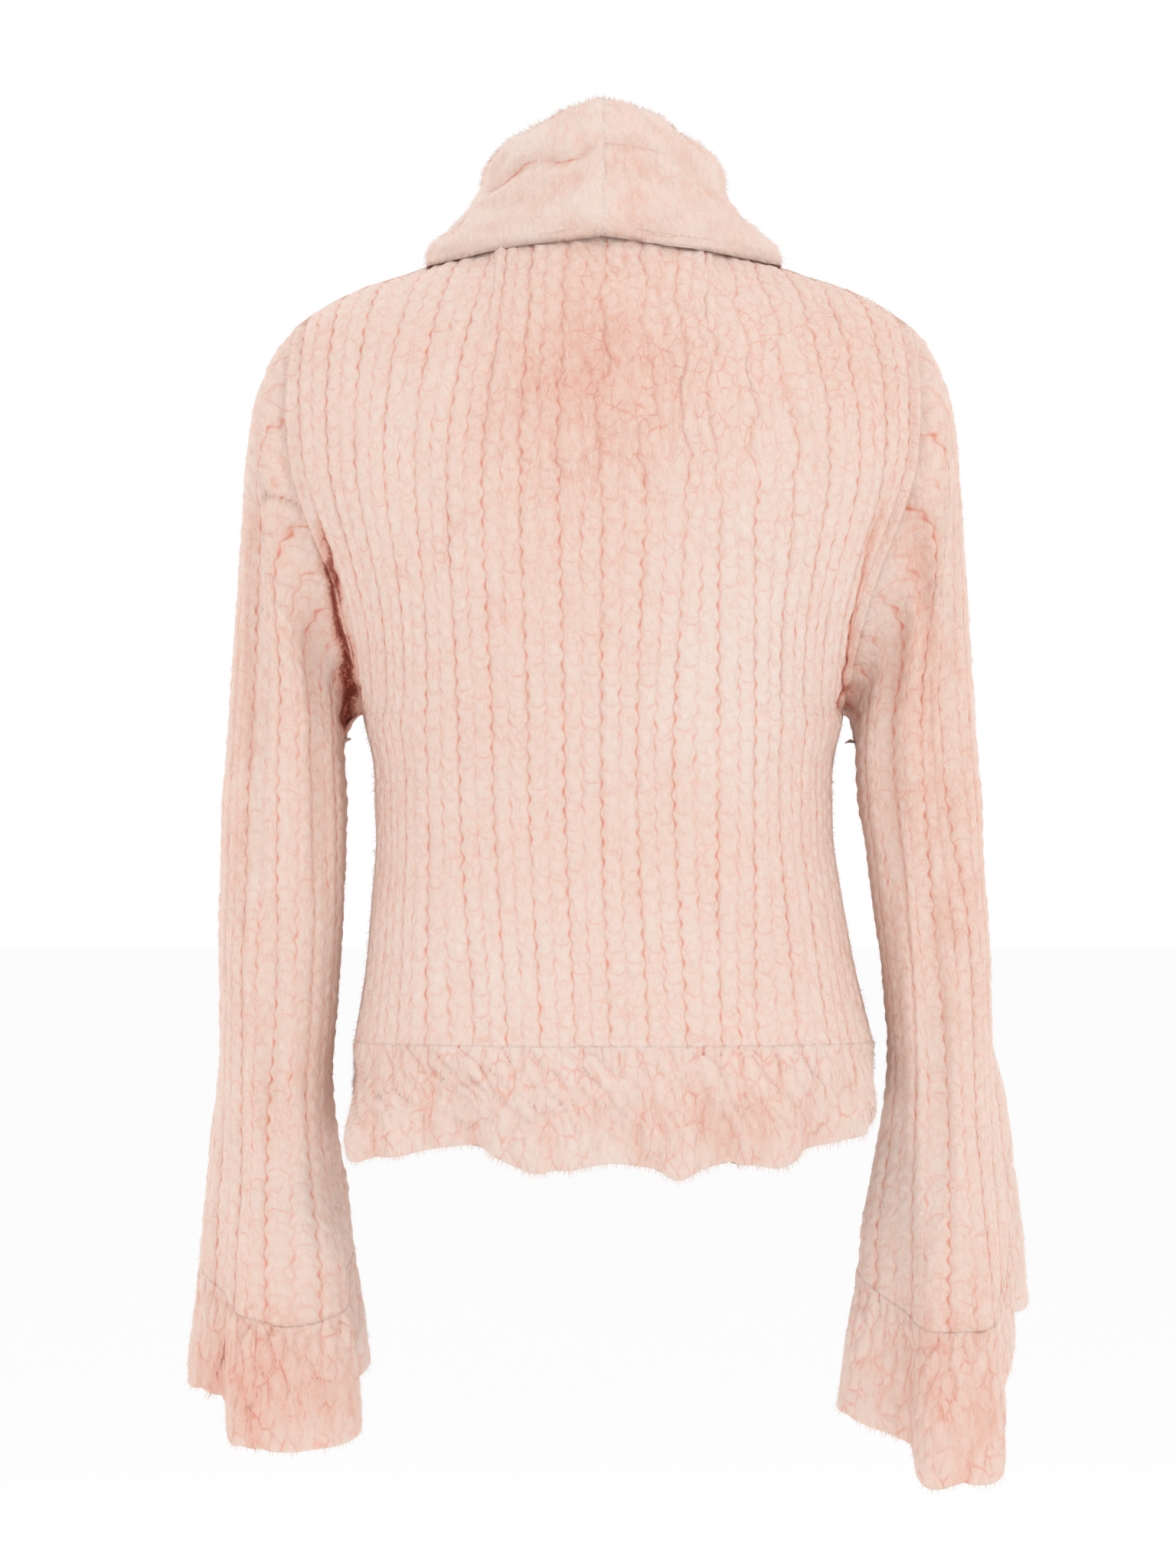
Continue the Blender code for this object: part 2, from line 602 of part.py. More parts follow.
def kept_clear(points, tree, clear):
    """The points, raised where they lie lower than clear over the body near them."""
    down = Vector((0.0, 0.0, -1.0))
    near = [(0.0, 0.0)]
    near += [(10.0 * math.cos(a), 10.0 * math.sin(a)) for a in np.arange(8) * math.pi / 4]
    raised = points.copy()
    for point in raised:
        x, y = point[:2]
        for number, (dx, dy) in enumerate(near):
            place, normal, _, _ = tree.ray_cast(Vector((x + dx, y + dy, 500.0)), down)
            if place is not None:
                over = 0.6 * clear if number else clear / max(0.5, abs(normal.z))
                point[2] = max(point[2], place.z + over)
    return raised


def collar_half(sign, back, front):
    """Faces of one half of the collar from centre back to centre front: the plush face
    that shows on the fall, and the face that the fall hides."""
    neck_columns = int(round(NECK_SHARE * RIBS * PER_RIB))
    from_back = [RIBS * PER_RIB + sign * k for k in range(neck_columns + 1)]
    centre = BODY_ROWS[-1][1]
    edges = []
    for grid in (0, 1):
        b, f = back[grid][-1, from_back], front[grid][-1, neck_columns::-1]
        edges.append(np.concatenate([b[:-1], [0.5 * (b[-1] + f[0])], f[1:]]))
    outer, inner = edges
    lead = np.array([centre, 0.0, 100.0]) - outer
    low_out, low_in, _ = sewn_on(outer, inner, lead, TUBE_GAP)
    turn = np.linspace(0.0, math.pi, len(outer))
    rings = [0.5 * (low_out + low_in)]
    for row in COLLAR_RINGS:
        ring = dict(zip(COLLAR_COLUMNS, row))
        keys = ("h45", "h0", "h45", "h90", "h135", "h180", "h135")
        heights = [ring[key] for key in keys]
        height = curve_through(COLLAR_ANGLES, heights, np.degrees(turn))
        sine, cosine = np.sin(turn), np.cos(turn)
        depth = np.where(cosine > 0.0, ring["back"], ring["front"])
        across = centre + sign * ring["half_width"] * sine ** (2.0 / ring["power"])
        out = depth * np.sign(cosine) * np.abs(cosine) ** (2.0 / ring["power"])
        rings.append(np.stack([across, out, height], -1))
    middle_line = np.array(rings)
    tree = surface_tree((back, front))
    clear = 0.5 * COLLAR_WALL + FALL_CLEARANCE
    for row in range(FALL_FIRST_RING, len(middle_line)):
        middle_line[row] = kept_clear(middle_line[row], tree, clear)
    at_back, at_front = centre + sign * 0.5 * SEAM_GAP, centre + sign * 0.5 * FRONT_OPENING
    middle_line[:, 0, 0], middle_line[:, -1, 0] = at_back, at_front
    normals = surface_normals(middle_line)
    if np.dot(normals[5, 4], (0.0, 0.0, 1.0)) < 0.0:
        normals = -normals
    normals[:, (0, -1), 0] = 0.0
    normals = unit(normals)
    shown = middle_line + 0.5 * COLLAR_WALL * normals
    hidden = middle_line - 0.5 * COLLAR_WALL * normals
    low_out[0, 0] = low_in[0, 0] = at_back
    low_out[-1, 0] = low_in[-1, 0] = at_front
    shown[0], hidden[0] = low_in, low_out
    return rounded_edge(shown, hidden)


def material_for(name, colour):
    material = bpy.data.materials.new(name)
    material.use_nodes = True
    shader = material.node_tree.nodes["Principled BSDF"]
    shader.inputs["Base Color"].default_value = colour
    shader.inputs["Roughness"].default_value = 0.9
    shader.inputs["Metallic"].default_value = 0.0
    return material


def patch(mesh, ring, split):
    """Adds a four-sided face, or two triangles that meet on its first diagonal."""
    if not split:
        mesh.faces.new(ring)
        return
    mesh.faces.new(ring[:3])
    mesh.faces.new((ring[0], ring[2], ring[3]))


def rim(mesh, ring):
    """Adds one span of a rim as two triangles that meet on its shorter diagonal."""
    if (ring[0].co - ring[2].co).length > (ring[1].co - ring[3].co).length:
        ring = ring[1:] + ring[:1]
    patch(mesh, ring, True)


def wall(collection, name, outer, inner, ratio, closed, colour):
    """Lofts a wall between an outer and an inner grid and closes its rims. The plain
    inside keeps every column near the rims, and one in every ratio between them. closed
    joins the last column to the first."""
    rows, columns = outer.shape[:2]
    spans = columns if closed else columns - 1
    mesh = bmesh.new()
    out = [[mesh.verts.new(p * MM) for p in row] for row in outer]
    every = [1 if ratio == 1 or r < 2 or r > rows - 3 else ratio for r in range(rows)]
    into = [
        {c: mesh.verts.new(inner[r][c] * MM) for c in range(0, columns, every[r])}
        for r in range(rows)
    ]
    for r in range(rows - 1):
        split = every[r] == every[r + 1] == 1
        for c in range(spans):
            d = (c + 1) % columns
            patch(mesh, (out[r][c], out[r][d], out[r + 1][d], out[r + 1][c]), split)
        for c in () if closed else (0, columns - 1):
            rim(mesh, (out[r][c], out[r + 1][c], into[r + 1][c], into[r][c]))
        if every[r] == every[r + 1]:
            for c in range(0, spans, every[r]):
                d = (c + every[r]) % columns
                patch(mesh, (into[r][c], into[r + 1][c], into[r + 1][d], into[r][d]), split)
            continue
        fine, plain = (into[r], into[r + 1]) if every[r] == 1 else (into[r + 1], into[r])
        for c in range(0, spans, ratio):
            d = (c + ratio) % columns
            mesh.faces.new((fine[c], fine[c + 1], plain[c]))
            mesh.faces.new((fine[c + 1], fine[c + 2], plain[d], plain[c]))
            mesh.faces.new((fine[c + 2], fine[d], plain[d]))
    for r in (0, rows - 1):
        for c in range(spans):
            d = (c + 1) % columns
            rim(mesh, (out[r][c], out[r][d], into[r][d], into[r][c]))
    bmesh.ops.recalc_face_normals(mesh, faces=mesh.faces)
    data = bpy.data.meshes.new(name)
    mesh.to_mesh(data)
    mesh.free()
    data.shade_smooth()
    data.materials.append(material_for(name, colour))
    made = bpy.data.objects.new(name, data)
    collection.objects.link(made)
    return made


def main():
    for old in list(bpy.data.objects):
        bpy.data.objects.remove(old, do_unlink=True)
    collection = bpy.data.collections.new(COLLECTION_NAME)
    bpy.context.scene.collection.children.link(collection)

    back = body_panel(1, (-1, 1))
    hem = hem_band(1, 0, *back)
    wall(collection, "back", *back, PER_RIB, False, KNIT_COLOUR)
    wall(collection, "hem_back", *hem, 1, False, PLUSH_COLOUR)
    for name, sign in (("left", 1), ("right", -1)):
        front = body_panel(-1, (sign,))
        hem = hem_band(-1, sign, *front)
        arm_outer, arm_inner, angle = sleeve(name, sign, back, front)
        arm = (arm_outer, arm_inner)
        end = cuff(name, sign, *arm, angle)
        collar = collar_half(sign, back, front)
        wall(collection, f"front_{name}", *front, PER_RIB, False, KNIT_COLOUR)
        wall(collection, f"hem_front_{name}", *hem, 1, False, PLUSH_COLOUR)
        wall(collection, f"sleeve_{name}", *arm, PER_RIB, True, KNIT_COLOUR)
        wall(collection, f"cuff_{name}", *end, 1, True, PLUSH_COLOUR)
        wall(collection, f"collar_{name}", *collar, 1, False, PLUSH_COLOUR)


main()
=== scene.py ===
# Looks of the knitted fur jacket: every piece of cloth as a shell with its knitted fur
# stitches or its plush, on the same form as its solid, and the fur itself as joined
# meshes of blades.
#
# Frame: the wearer's front faces -Y, the wearer's left is +X and +Z is up. Forms are
# worked out in millimetres, as in the part's own source, and become metres in a mesh.

import math

import bpy
import numpy as np
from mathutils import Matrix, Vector
from mathutils.bvhtree import BVHTree


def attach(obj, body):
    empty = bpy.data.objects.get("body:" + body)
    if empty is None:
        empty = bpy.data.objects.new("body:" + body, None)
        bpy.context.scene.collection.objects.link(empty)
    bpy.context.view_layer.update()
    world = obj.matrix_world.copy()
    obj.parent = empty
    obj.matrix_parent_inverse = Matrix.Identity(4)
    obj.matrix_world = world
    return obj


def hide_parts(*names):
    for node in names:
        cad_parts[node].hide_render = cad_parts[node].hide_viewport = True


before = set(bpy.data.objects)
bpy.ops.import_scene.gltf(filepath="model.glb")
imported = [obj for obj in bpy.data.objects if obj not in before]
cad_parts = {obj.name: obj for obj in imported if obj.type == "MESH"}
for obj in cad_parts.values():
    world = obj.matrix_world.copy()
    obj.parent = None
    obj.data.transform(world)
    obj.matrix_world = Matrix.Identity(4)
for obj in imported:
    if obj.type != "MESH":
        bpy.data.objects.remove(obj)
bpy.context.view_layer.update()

MM = 0.001
# Driving sizes
SEAM_GAP = 0.35
TUBE_GAP = 0.8
FRONT_OPENING = 2.4
KNIT_WALL = 9.0
PLUSH_WALL = 13.0
COLLAR_WALL = 10.0
RIB_DEPTH = 3.2
SECTION_POWER = 2.3
SLEEVE_POWER = 2.2
NECK_SIZE = {"half_width": 76.0, "back": 64.0, "front": 52.0}
NECK_HEIGHT = {"back": 52.0, "side": 51.0, "front": -30.0}
NECK_LEAN = math.radians(50.0)
SHOULDER_POINT = 208.0
NECK_SHARE = 0.375
ARMHOLE_BOW = 5.0
NECK_THINNING = 0.4
SLEEVE_STRAIGHT_TOP = -300.0

# Counts: ribs on half of a body panel, mesh columns on each rib, rows of the mesh
RIBS = 8
PER_RIB = 3
SIDE_ROWS = 8
ARMHOLE_ROWS = 12
CAP_ROWS = 7
TUBE_ROWS = 10

# Body sections, each round its own centre. From the underarm up, half_width is that of
# the whole chest, and the armhole cuts the side away at armhole_edge.
BODY_COLUMNS = ("height", "centre", "half_width", "back", "front", "armhole_edge")
BODY_ROWS = (
    (-495.0, -9.5, 177.5, 125.0, 140.0, 177.5),
    (-440.0, -7.0, 166.5, 116.0, 137.0, 166.5),
    (-400.0, -5.0, 161.5, 108.0, 135.0, 161.5),
    (-360.0, -3.5, 157.0, 103.0, 133.0, 157.0),
    (-320.0, -2.5, 157.0, 103.0, 133.0, 157.0),
    (-283.0, -2.5, 163.5, 107.0, 134.0, 163.5),
    (-255.0, -2.5, 173.0, 110.0, 134.0, 169.5),
    (-215.0, -2.5, 188.0, 113.0, 132.0, 176.5),
    (-180.0, -2.5, 206.0, 114.0, 129.0, 187.0),
    (-150.0, -2.5, 224.0, 114.0, 125.0, 198.5),
    (-120.0, -2.5, 240.0, 113.0, 119.0, 208.0),
)

# The shoulder seam, from the neck to the shoulder point
SHOULDER_COLUMNS = ("across", "height")
SHOULDER_ROWS = (
    (76.0, 51.0),
    (86.0, 44.0),
    (105.0, 35.0),
    (134.0, 24.0),
    (158.0, 16.5),
    (184.0, 5.0),
    (208.0, -11.0),
)

# Gathered hem, a row for each wave's crest and valley. place runs round the body: 0 is
# centre back, 1 the wearer's left side seam, 2 centre front, and minus is the right.
HEM_COLUMNS = ("place", "outward", "height")
HEM_ROWS = (
    (-2.00, 10.0, -565.0),
    (-1.86, 16.0, -569.0),
    (-1.68, 6.0, -561.0),
    (-1.46, 22.0, -565.0),
    (-1.28, 4.0, -553.0),
    (-1.12, -2.0, -548.0),
    (-0.95, -4.0, -543.0),
    (-0.78, 13.0, -556.0),
    (-0.62, 2.0, -564.0),
    (-0.42, 19.0, -578.0),
    (-0.29, 6.0, -576.0),
    (-0.17, 18.0, -585.0),
    (0.00, 6.0, -574.0),
    (0.18, 18.0, -582.0),
    (0.44, -2.0, -564.0),
    (0.70, 26.0, -576.0),
    (0.93, -2.0, -566.0),
    (1.10, 2.0, -568.0),
    (1.26, -2.0, -562.0),
    (1.48, 20.0, -570.0),
    (1.68, 6.0, -561.0),
    (1.86, 16.0, -569.0),
    (2.00, 10.0, -565.0),
)

# Straight part of each sleeve. outward is the distance of its centre from the body's
# middle, and forward how far the centre lies towards the front.
SLEEVE_COLUMNS = ("height", "outward", "forward", "half_width", "half_depth")
SLEEVE_ROWS = {
    "left": (
        (-300.0, 212.5, 4.0, 42.5, 54.0),
        (-340.0, 213.0, 5.0, 45.0, 54.0),
        (-400.0, 214.8, 7.0, 45.0, 53.0),
        (-440.0, 216.4, 9.0, 44.0, 52.0),
        (-480.0, 217.4, 10.0, 42.0, 52.0),
        (-540.0, 220.0, 12.0, 39.0, 51.0),
        (-700.0, 219.0, 12.0, 41.0, 50.0),
    ),
    "right": (
        (-300.0, 214.0, 4.0, 44.0, 54.0),
        (-340.0, 217.0, 5.0, 44.5, 54.0),
        (-370.0, 220.0, 6.0, 42.0, 53.0),
        (-400.0, 223.0, 8.0, 41.5, 53.0),
        (-440.0, 227.0, 9.0, 40.0, 52.0),
        (-480.0, 229.5, 10.0, 38.0, 51.0),
        (-540.0, 232.0, 12.0, 37.0, 50.0),
        (-700.0, 235.0, 12.0, 40.0, 50.0),
    ),
}

# Soft troughs down each sleeve. The angle round the sleeve is 0 on its outer side, 90
# at the back and 180 next to the body.
FOLD_COLUMNS = ("top", "bottom", "angle_top", "angle_bottom", "width", "depth")
FOLD_ROWS = {
    "left": (
        (-70.0, -420.0, 52.0, 66.0, 15.0, 8.0),
        (-390.0, -660.0, 78.0, 96.0, 13.0, 8.0),
        (-170.0, -400.0, 128.0, 132.0, 13.0, 6.0),
        (-90.0, -450.0, 300.0, 290.0, 15.0, 8.0),
        (-400.0, -600.0, 262.0, 256.0, 13.0, 7.0),
    ),
    "right": (
        (-100.0, -400.0, 40.0, 62.0, 14.0, 8.0),
        (-360.0, -640.0, 92.0, 102.0, 13.0, 9.0),
        (-160.0, -420.0, 122.0, 126.0, 13.0, 7.0),
        (-90.0, -430.0, 296.0, 286.0, 15.0, 8.0),
        (-390.0, -590.0, 258.0, 252.0, 13.0, 7.0),
    ),
}

# Bell and gathered cuff, a row for each flute's crest and valley by its angle: how far
# and how low the seam and the edge stand, outward from the sleeve's straight section.
CUFF_COLUMNS = ("angle", "seam_out", "seam_height", "edge_out", "edge_height")
CUFF_ROWS = {
    "left": (
        (6.0, 13.0, -646.0, 23.0, -729.0),
        (38.0, 5.0, -663.0, 6.0, -741.0),
        (72.0, 14.0, -678.0, 28.0, -768.0),
        (104.0, 14.0, -684.0, 26.0, -771.0),
        (146.0, 20.0, -674.0, 34.0, -761.0),
        (176.0, 8.0, -656.0, 10.0, -736.0),
        (204.0, 19.0, -634.0, 32.0, -719.0),
        (232.0, 6.0, -616.0, 7.0, -709.0),
        (262.0, 18.0, -600.0, 32.0, -700.0),
        (292.0, 6.0, -590.0, 7.0, -690.0),
        (324.0, 18.0, -584.0, 28.0, -686.0),
        (350.0, 9.0, -612.0, 12.0, -706.0),
    ),
    "right": (
        (4.0, 7.0, -636.0, 10.0, -706.0),
        (32.0, 5.0, -666.0, 6.0, -740.0),
        (64.0, 17.0, -686.0, 30.0, -790.0),
        (98.0, 18.0, -688.0, 32.0, -796.0),
        (132.0, 6.0, -676.0, 7.0, -768.0),
        (174.0, 24.0, -650.0, 40.0, -747.0),
        (214.0, 6.0, -622.0, 7.0, -722.0),
        (246.0, 18.0, -602.0, 32.0, -708.0),
        (280.0, 6.0, -580.0, 7.0, -694.0),
        (316.0, 26.0, -556.0, 42.0, -684.0),
        (344.0, 7.0, -600.0, 7.0, -692.0),
    ),
}

# Middle of the collar's wall from the neck seam up the stand, over the fold and down
# the fall to its edge, each row a ring round the neck with its height at five places.
COLLAR_COLUMNS = ("half_width", "back", "front", "h0", "h45", "h90", "h135", "h180", "power")
COLLAR_RINGS = (
    (69.0, 59.0, 50.0, 70.0, 70.0, 66.0, 27.0, -10.0, 2.0),
    (64.5, 57.0, 49.0, 96.0, 86.0, 71.5, 32.0, -1.0, 2.0),
    (64.0, 56.0, 48.5, 113.0, 95.0, 77.0, 38.0, 8.0, 2.0),
    (66.0, 56.5, 49.5, 125.0, 104.5, 84.5, 45.5, 18.0, 2.0),
    (73.5, 63.5, 57.5, 131.5, 111.0, 90.5, 52.0, 26.0, 2.0),
    (80.5, 70.5, 65.5, 124.5, 104.5, 83.5, 46.0, 19.5, 2.0),
    (80.0, 70.0, 66.0, 97.0, 87.0, 73.0, 38.0, 6.0, 2.0),
    (89.0, 75.5, 71.0, 76.0, 68.0, 60.0, 26.0, -16.0, 1.85),
    (104.0, 79.0, 82.0, 60.0, 51.0, 48.0, 20.0, -37.0, 1.7),
    (118.0, 82.0, 94.0, 49.0, 41.0, 38.5, 16.0, -52.0, 1.6),
    (125.0, 83.5, 99.0, 44.5, 36.5, 33.5, 12.0, -58.0, 1.6),
)
COLLAR_ANGLES = (-45.0, 0.0, 45.0, 90.0, 135.0, 180.0, 225.0)
FALL_FIRST_RING = 7
FALL_CLEARANCE = 4.5


def curve_through(places, values, at):
    """A smooth curve through a table's values that doesn't swing past them."""
    places = np.asarray(places, float)
    values = np.asarray(values, float)
    at = np.clip(np.asarray(at, float), places[0], places[-1])
    steps = np.diff(places)
    slopes = np.diff(values) / steps
    tangents = np.zeros(len(places))
    before, after = slopes[:-1], slopes[1:]
    same_way = before * after > 0
    total = np.where(same_way, before + after, 1.0)
    tangents[1:-1] = np.where(same_way, 2.0 * before * after / total, 0.0)
    tangents[0], tangents[-1] = slopes[0], slopes[-1]
    k = np.clip(np.searchsorted(places, at, side="right") - 1, 0, len(steps) - 1)
    s = (at - places[k]) / steps[k]
    start = (1 + 2 * s) * (1 - s) ** 2 * values[k]
    end = s**2 * (3 - 2 * s) * values[k + 1]
    lean = steps[k] * (s * (1 - s) ** 2 * tangents[k] - s**2 * (1 - s) * tangents[k + 1])
    return start + end + lean


def read(columns, rows, name, at, key=0):
    """The named column of a table, read at a value of its key column."""
    order = sorted(rows, key=lambda row: row[key])
    places = [row[key] for row in order]
    values = [row[columns.index(name)] for row in order]
    return curve_through(places, values, at)


def read_round(columns, rows, name, angle):
    """As read, for a table that runs once round by its angle in degrees."""
    ahead = [(row[0] + 360.0, *row[1:]) for row in rows[:3]]
    behind = [(row[0] - 360.0, *row[1:]) for row in rows[-3:]]
    return read(columns, [*behind, *rows, *ahead], name, np.mod(angle, 360.0))


def soft_step(x):
    x = np.clip(x, 0.0, 1.0)
    return x * x * (3.0 - 2.0 * x)


def unit(vectors):
    return vectors / np.maximum(np.linalg.norm(vectors, axis=-1, keepdims=True), 1e-9)


def body_section(height, side, shares):
    """Points of one body section at shares 0 to 1 of its length, from the centre line
    to its side seam or armhole. side is 1 for the back and -1 for the front."""
    half = float(read(BODY_COLUMNS, BODY_ROWS, "half_width", height))
    depth = float(read(BODY_COLUMNS, BODY_ROWS, "back" if side > 0 else "front", height))
    edge = float(read(BODY_COLUMNS, BODY_ROWS, "armhole_edge", height))
    turn = np.linspace(0.0, 0.5 * math.pi, 400)
    across = half * np.sin(turn) ** (2.0 / SECTION_POWER)
    out = depth * np.cos(turn) ** (2.0 / SECTION_POWER)
    if edge < half - 1e-6:
        last = np.interp(edge, across, out)
        kept = across < edge
        across = np.append(across[kept], edge)
        out = np.append(out[kept], last)
    length = np.concatenate([[0.0], np.cumsum(np.hypot(np.diff(across), np.diff(out)))])
    at = np.asarray(shares) * length[-1]
    return np.interp(at, length, across), side * np.interp(at, length, out)


def top_edge(side, shares):
    """The panel's top: the neckline up to NECK_SHARE, then the shoulder seam. The
    neckline's points stand at even angles round the neck."""
    shares = np.asarray(shares, float)
    neck = NECK_SIZE["half_width"]
    within = np.clip(shares / NECK_SHARE, 0.0, 1.0)
    beyond = (shares - NECK_SHARE) / (1.0 - NECK_SHARE)
    along = np.sin(0.5 * math.pi * within)
    outside = neck + (SHOULDER_POINT - neck) * beyond
    across = np.where(shares < NECK_SHARE, neck * along, outside)
    place = "back" if side > 0 else "front"
    round_it = np.sqrt(np.clip(1.0 - (across / neck) ** 2, 0.0, 1.0))
    shoulder = read(SHOULDER_COLUMNS, SHOULDER_ROWS, "height", across)
    change = NECK_HEIGHT[place] - NECK_HEIGHT["side"]
    in_neck = NECK_HEIGHT["side"] + change * round_it**2
    height = np.where(across < neck, in_neck, shoulder)
    return across, side * NECK_SIZE[place] * round_it, height, round_it**2


def panel_point(side, sign, shares, rise):
    """A body panel's outer envelope along one row. rise is 0 at the hem seam, 1 at the
    underarm and 2 at the top edge; sign is 1 on the wearer's left."""
    blade = BODY_ROWS[-1][0]
    underarm = BODY_ROWS[5][0]
    hem = BODY_ROWS[0][0]
    if rise <= 1.0:
        height = hem + (underarm - hem) * rise
    else:
        height = underarm + (blade - underarm) * min(1.0, 2.0 * (rise - 1.0))
    across, out = body_section(height, side, shares)
    heights = np.full_like(across, height)
    if rise > 1.5:
        top_across, top_out, top_height, in_neck = top_edge(side, shares)
        lean = 0.5 * math.pi - (0.5 * math.pi - NECK_LEAN) * in_neck
        turned = lean * (2.0 * rise - 3.0)
        up = np.sin(turned) / np.sin(lean)
        over = (np.cos(turned) - np.cos(lean)) / (1.0 - np.cos(lean))
        bow = ARMHOLE_BOW * np.asarray(shares) ** 6 * 4.0 * up * (1.0 - up)
        across = top_across + (across - top_across) * (1.0 - up) + bow
        out = top_out + (out - top_out) * over
        heights = blade + (top_height - blade) * up
    centre = read(BODY_COLUMNS, BODY_ROWS, "centre", heights)
    return np.stack([centre + sign * across, out + 0.5 * side * SEAM_GAP, heights], -1)


def surface_normals(points, closed=False):
    """Unit normals of a grid of points, rows first, on the side that the grid's own
    turning gives: along the columns' direction crossed with the rows'."""
    if closed:
        along = np.roll(points, -1, axis=1) - np.roll(points, 1, axis=1)
    else:
        along = np.gradient(points, axis=1)
    return unit(np.cross(along, np.gradient(points, axis=0)))


def evened(vectors, times):
    """A grid of vectors, each drawn towards its neighbours a number of times."""
    for _ in range(times):
        wide = np.pad(vectors, ((1, 1), (1, 1), (0, 0)), mode="edge")
        beside = wide[1:-1, :-2] + wide[1:-1, 2:] + wide[:-2, 1:-1] + wide[2:, 1:-1]
        vectors = 0.5 * vectors + 0.125 * beside
    return vectors


def top_normals(edge, normals):
    """Normals along a panel's top edge. Both panels have the same ones on the shoulder
    seam, and those of the neckline turn to them towards its side."""
    from_centre = edge[:, 0] - BODY_ROWS[-1][1]
    across = np.abs(from_centre)
    neck = NECK_SIZE["half_width"]
    at = np.clip(across, neck + 4.0, SHOULDER_POINT - 4.0)
    before = read(SHOULDER_COLUMNS, SHOULDER_ROWS, "height", at - 4.0)
    past = read(SHOULDER_COLUMNS, SHOULDER_ROWS, "height", at + 4.0)
    level = np.zeros_like(across)
    square = np.stack([np.sign(from_centre) * (before - past), level, level + 8.0], -1)
    share = np.clip(across / neck, 0.0, 1.0)[:, None] ** 8
    return unit(normals * (1.0 - share) + unit(square) * share)


def rib_profile(count):
    """How deep each mesh column lies: 1 in a groove between ribs and 0 on a rib."""
    return (np.arange(count) % PER_RIB == 0).astype(float)


def row_fade(count):
    """Ribs run out in the first and last row, which are sewn to other pieces."""
    fade = np.ones(count)
    fade[0] = fade[-1] = 0.0
    return fade


def body_panel(side, signs):
    """Outer and inner grids of a body panel. signs lists the halves that it has."""
    half = np.linspace(0.0, 1.0, RIBS * PER_RIB + 1)
    rises = np.concatenate(
        [
            np.linspace(0.0, 1.0, SIDE_ROWS + 1)[:-1],
            1.0 + np.linspace(0.0, 1.0, ARMHOLE_ROWS + 1) ** 1.25,
        ]
    )
    if len(signs) == 1:
        half[0] = 0.3 * FRONT_OPENING / SHOULDER_POINT
    rows = []
    for rise in rises:
        parts = {sign: panel_point(side, sign, half, rise) for sign in signs}
        if len(signs) == 2:
            rows.append(np.concatenate([parts[-1][::-1], parts[1][1:]]))
        else:
            rows.append(parts[signs[0]])
    smooth = np.array(rows)
    normals = surface_normals(smooth)
    middle = normals[SIDE_ROWS // 2, len(half) // 2]
    if middle[1] * side < 0.0:
        normals = -normals
    pressed = np.exp(-(((half - NECK_SHARE) / 0.14) ** 2))
    if len(signs) == 2:
        pressed = np.concatenate([pressed[::-1], pressed[1:]])
    pressed = (pressed[None, :] * soft_step((rises - 1.6) / 0.25)[:, None])[:, :, None]
    normals = unit(evened(normals, 3))
    ends = (0, -1) if len(signs) == 2 else (-1,)
    for end in ends:
        normals[: SIDE_ROWS + 1, end, 1] = 0.0
    normals[-1] = top_normals(smooth[-1], normals[-1])
    if len(signs) == 1:
        normals[:, 0, 0] = 0.0
    normals[:, :, 0] *= 1.0 - 0.85 * pressed[:, :, 0]
    normals = unit(normals)
    depth = RIB_DEPTH * rib_profile(smooth.shape[1])[None, :, None] * (1.0 - pressed)
    outer = smooth - normals * depth * row_fade(len(smooth))[:, None, None]
    return outer, smooth - normals * KNIT_WALL * (1.0 - NECK_THINNING * pressed), smooth


def sewn_on(outer, inner, lead, gap, closed=False):
    """A seam's two edges moved off the neighbour by a gap, square to the seam and on
    the side of lead, a direction at each point."""
    if closed:
        along = np.roll(outer, -1, axis=0) - np.roll(outer, 1, axis=0)
    else:
        along = np.gradient(outer, axis=0)
    away = unit(np.cross(along, outer - inner))
    away[np.sum(away * lead, axis=1) < 0.0] *= -1.0
    return outer + away * gap, inner + away * gap, away


def fold_depth(name, angle, height):
    """How far the sleeve's soft troughs go in at an angle and a height."""
    depth = np.zeros_like(angle)
    for row in FOLD_ROWS[name]:
        fold = dict(zip(FOLD_COLUMNS, row))
        run = (fold["top"] - height) / (fold["top"] - fold["bottom"])
        middle = fold["angle_top"] + run * (fold["angle_bottom"] - fold["angle_top"])
        off = (angle - middle + 180.0) % 360.0 - 180.0
        ends = np.sin(math.pi * np.clip(run, 0.0, 1.0)) ** 0.6
        depth += fold["depth"] * ends * np.exp(-((off / fold["width"]) ** 2))
    return depth


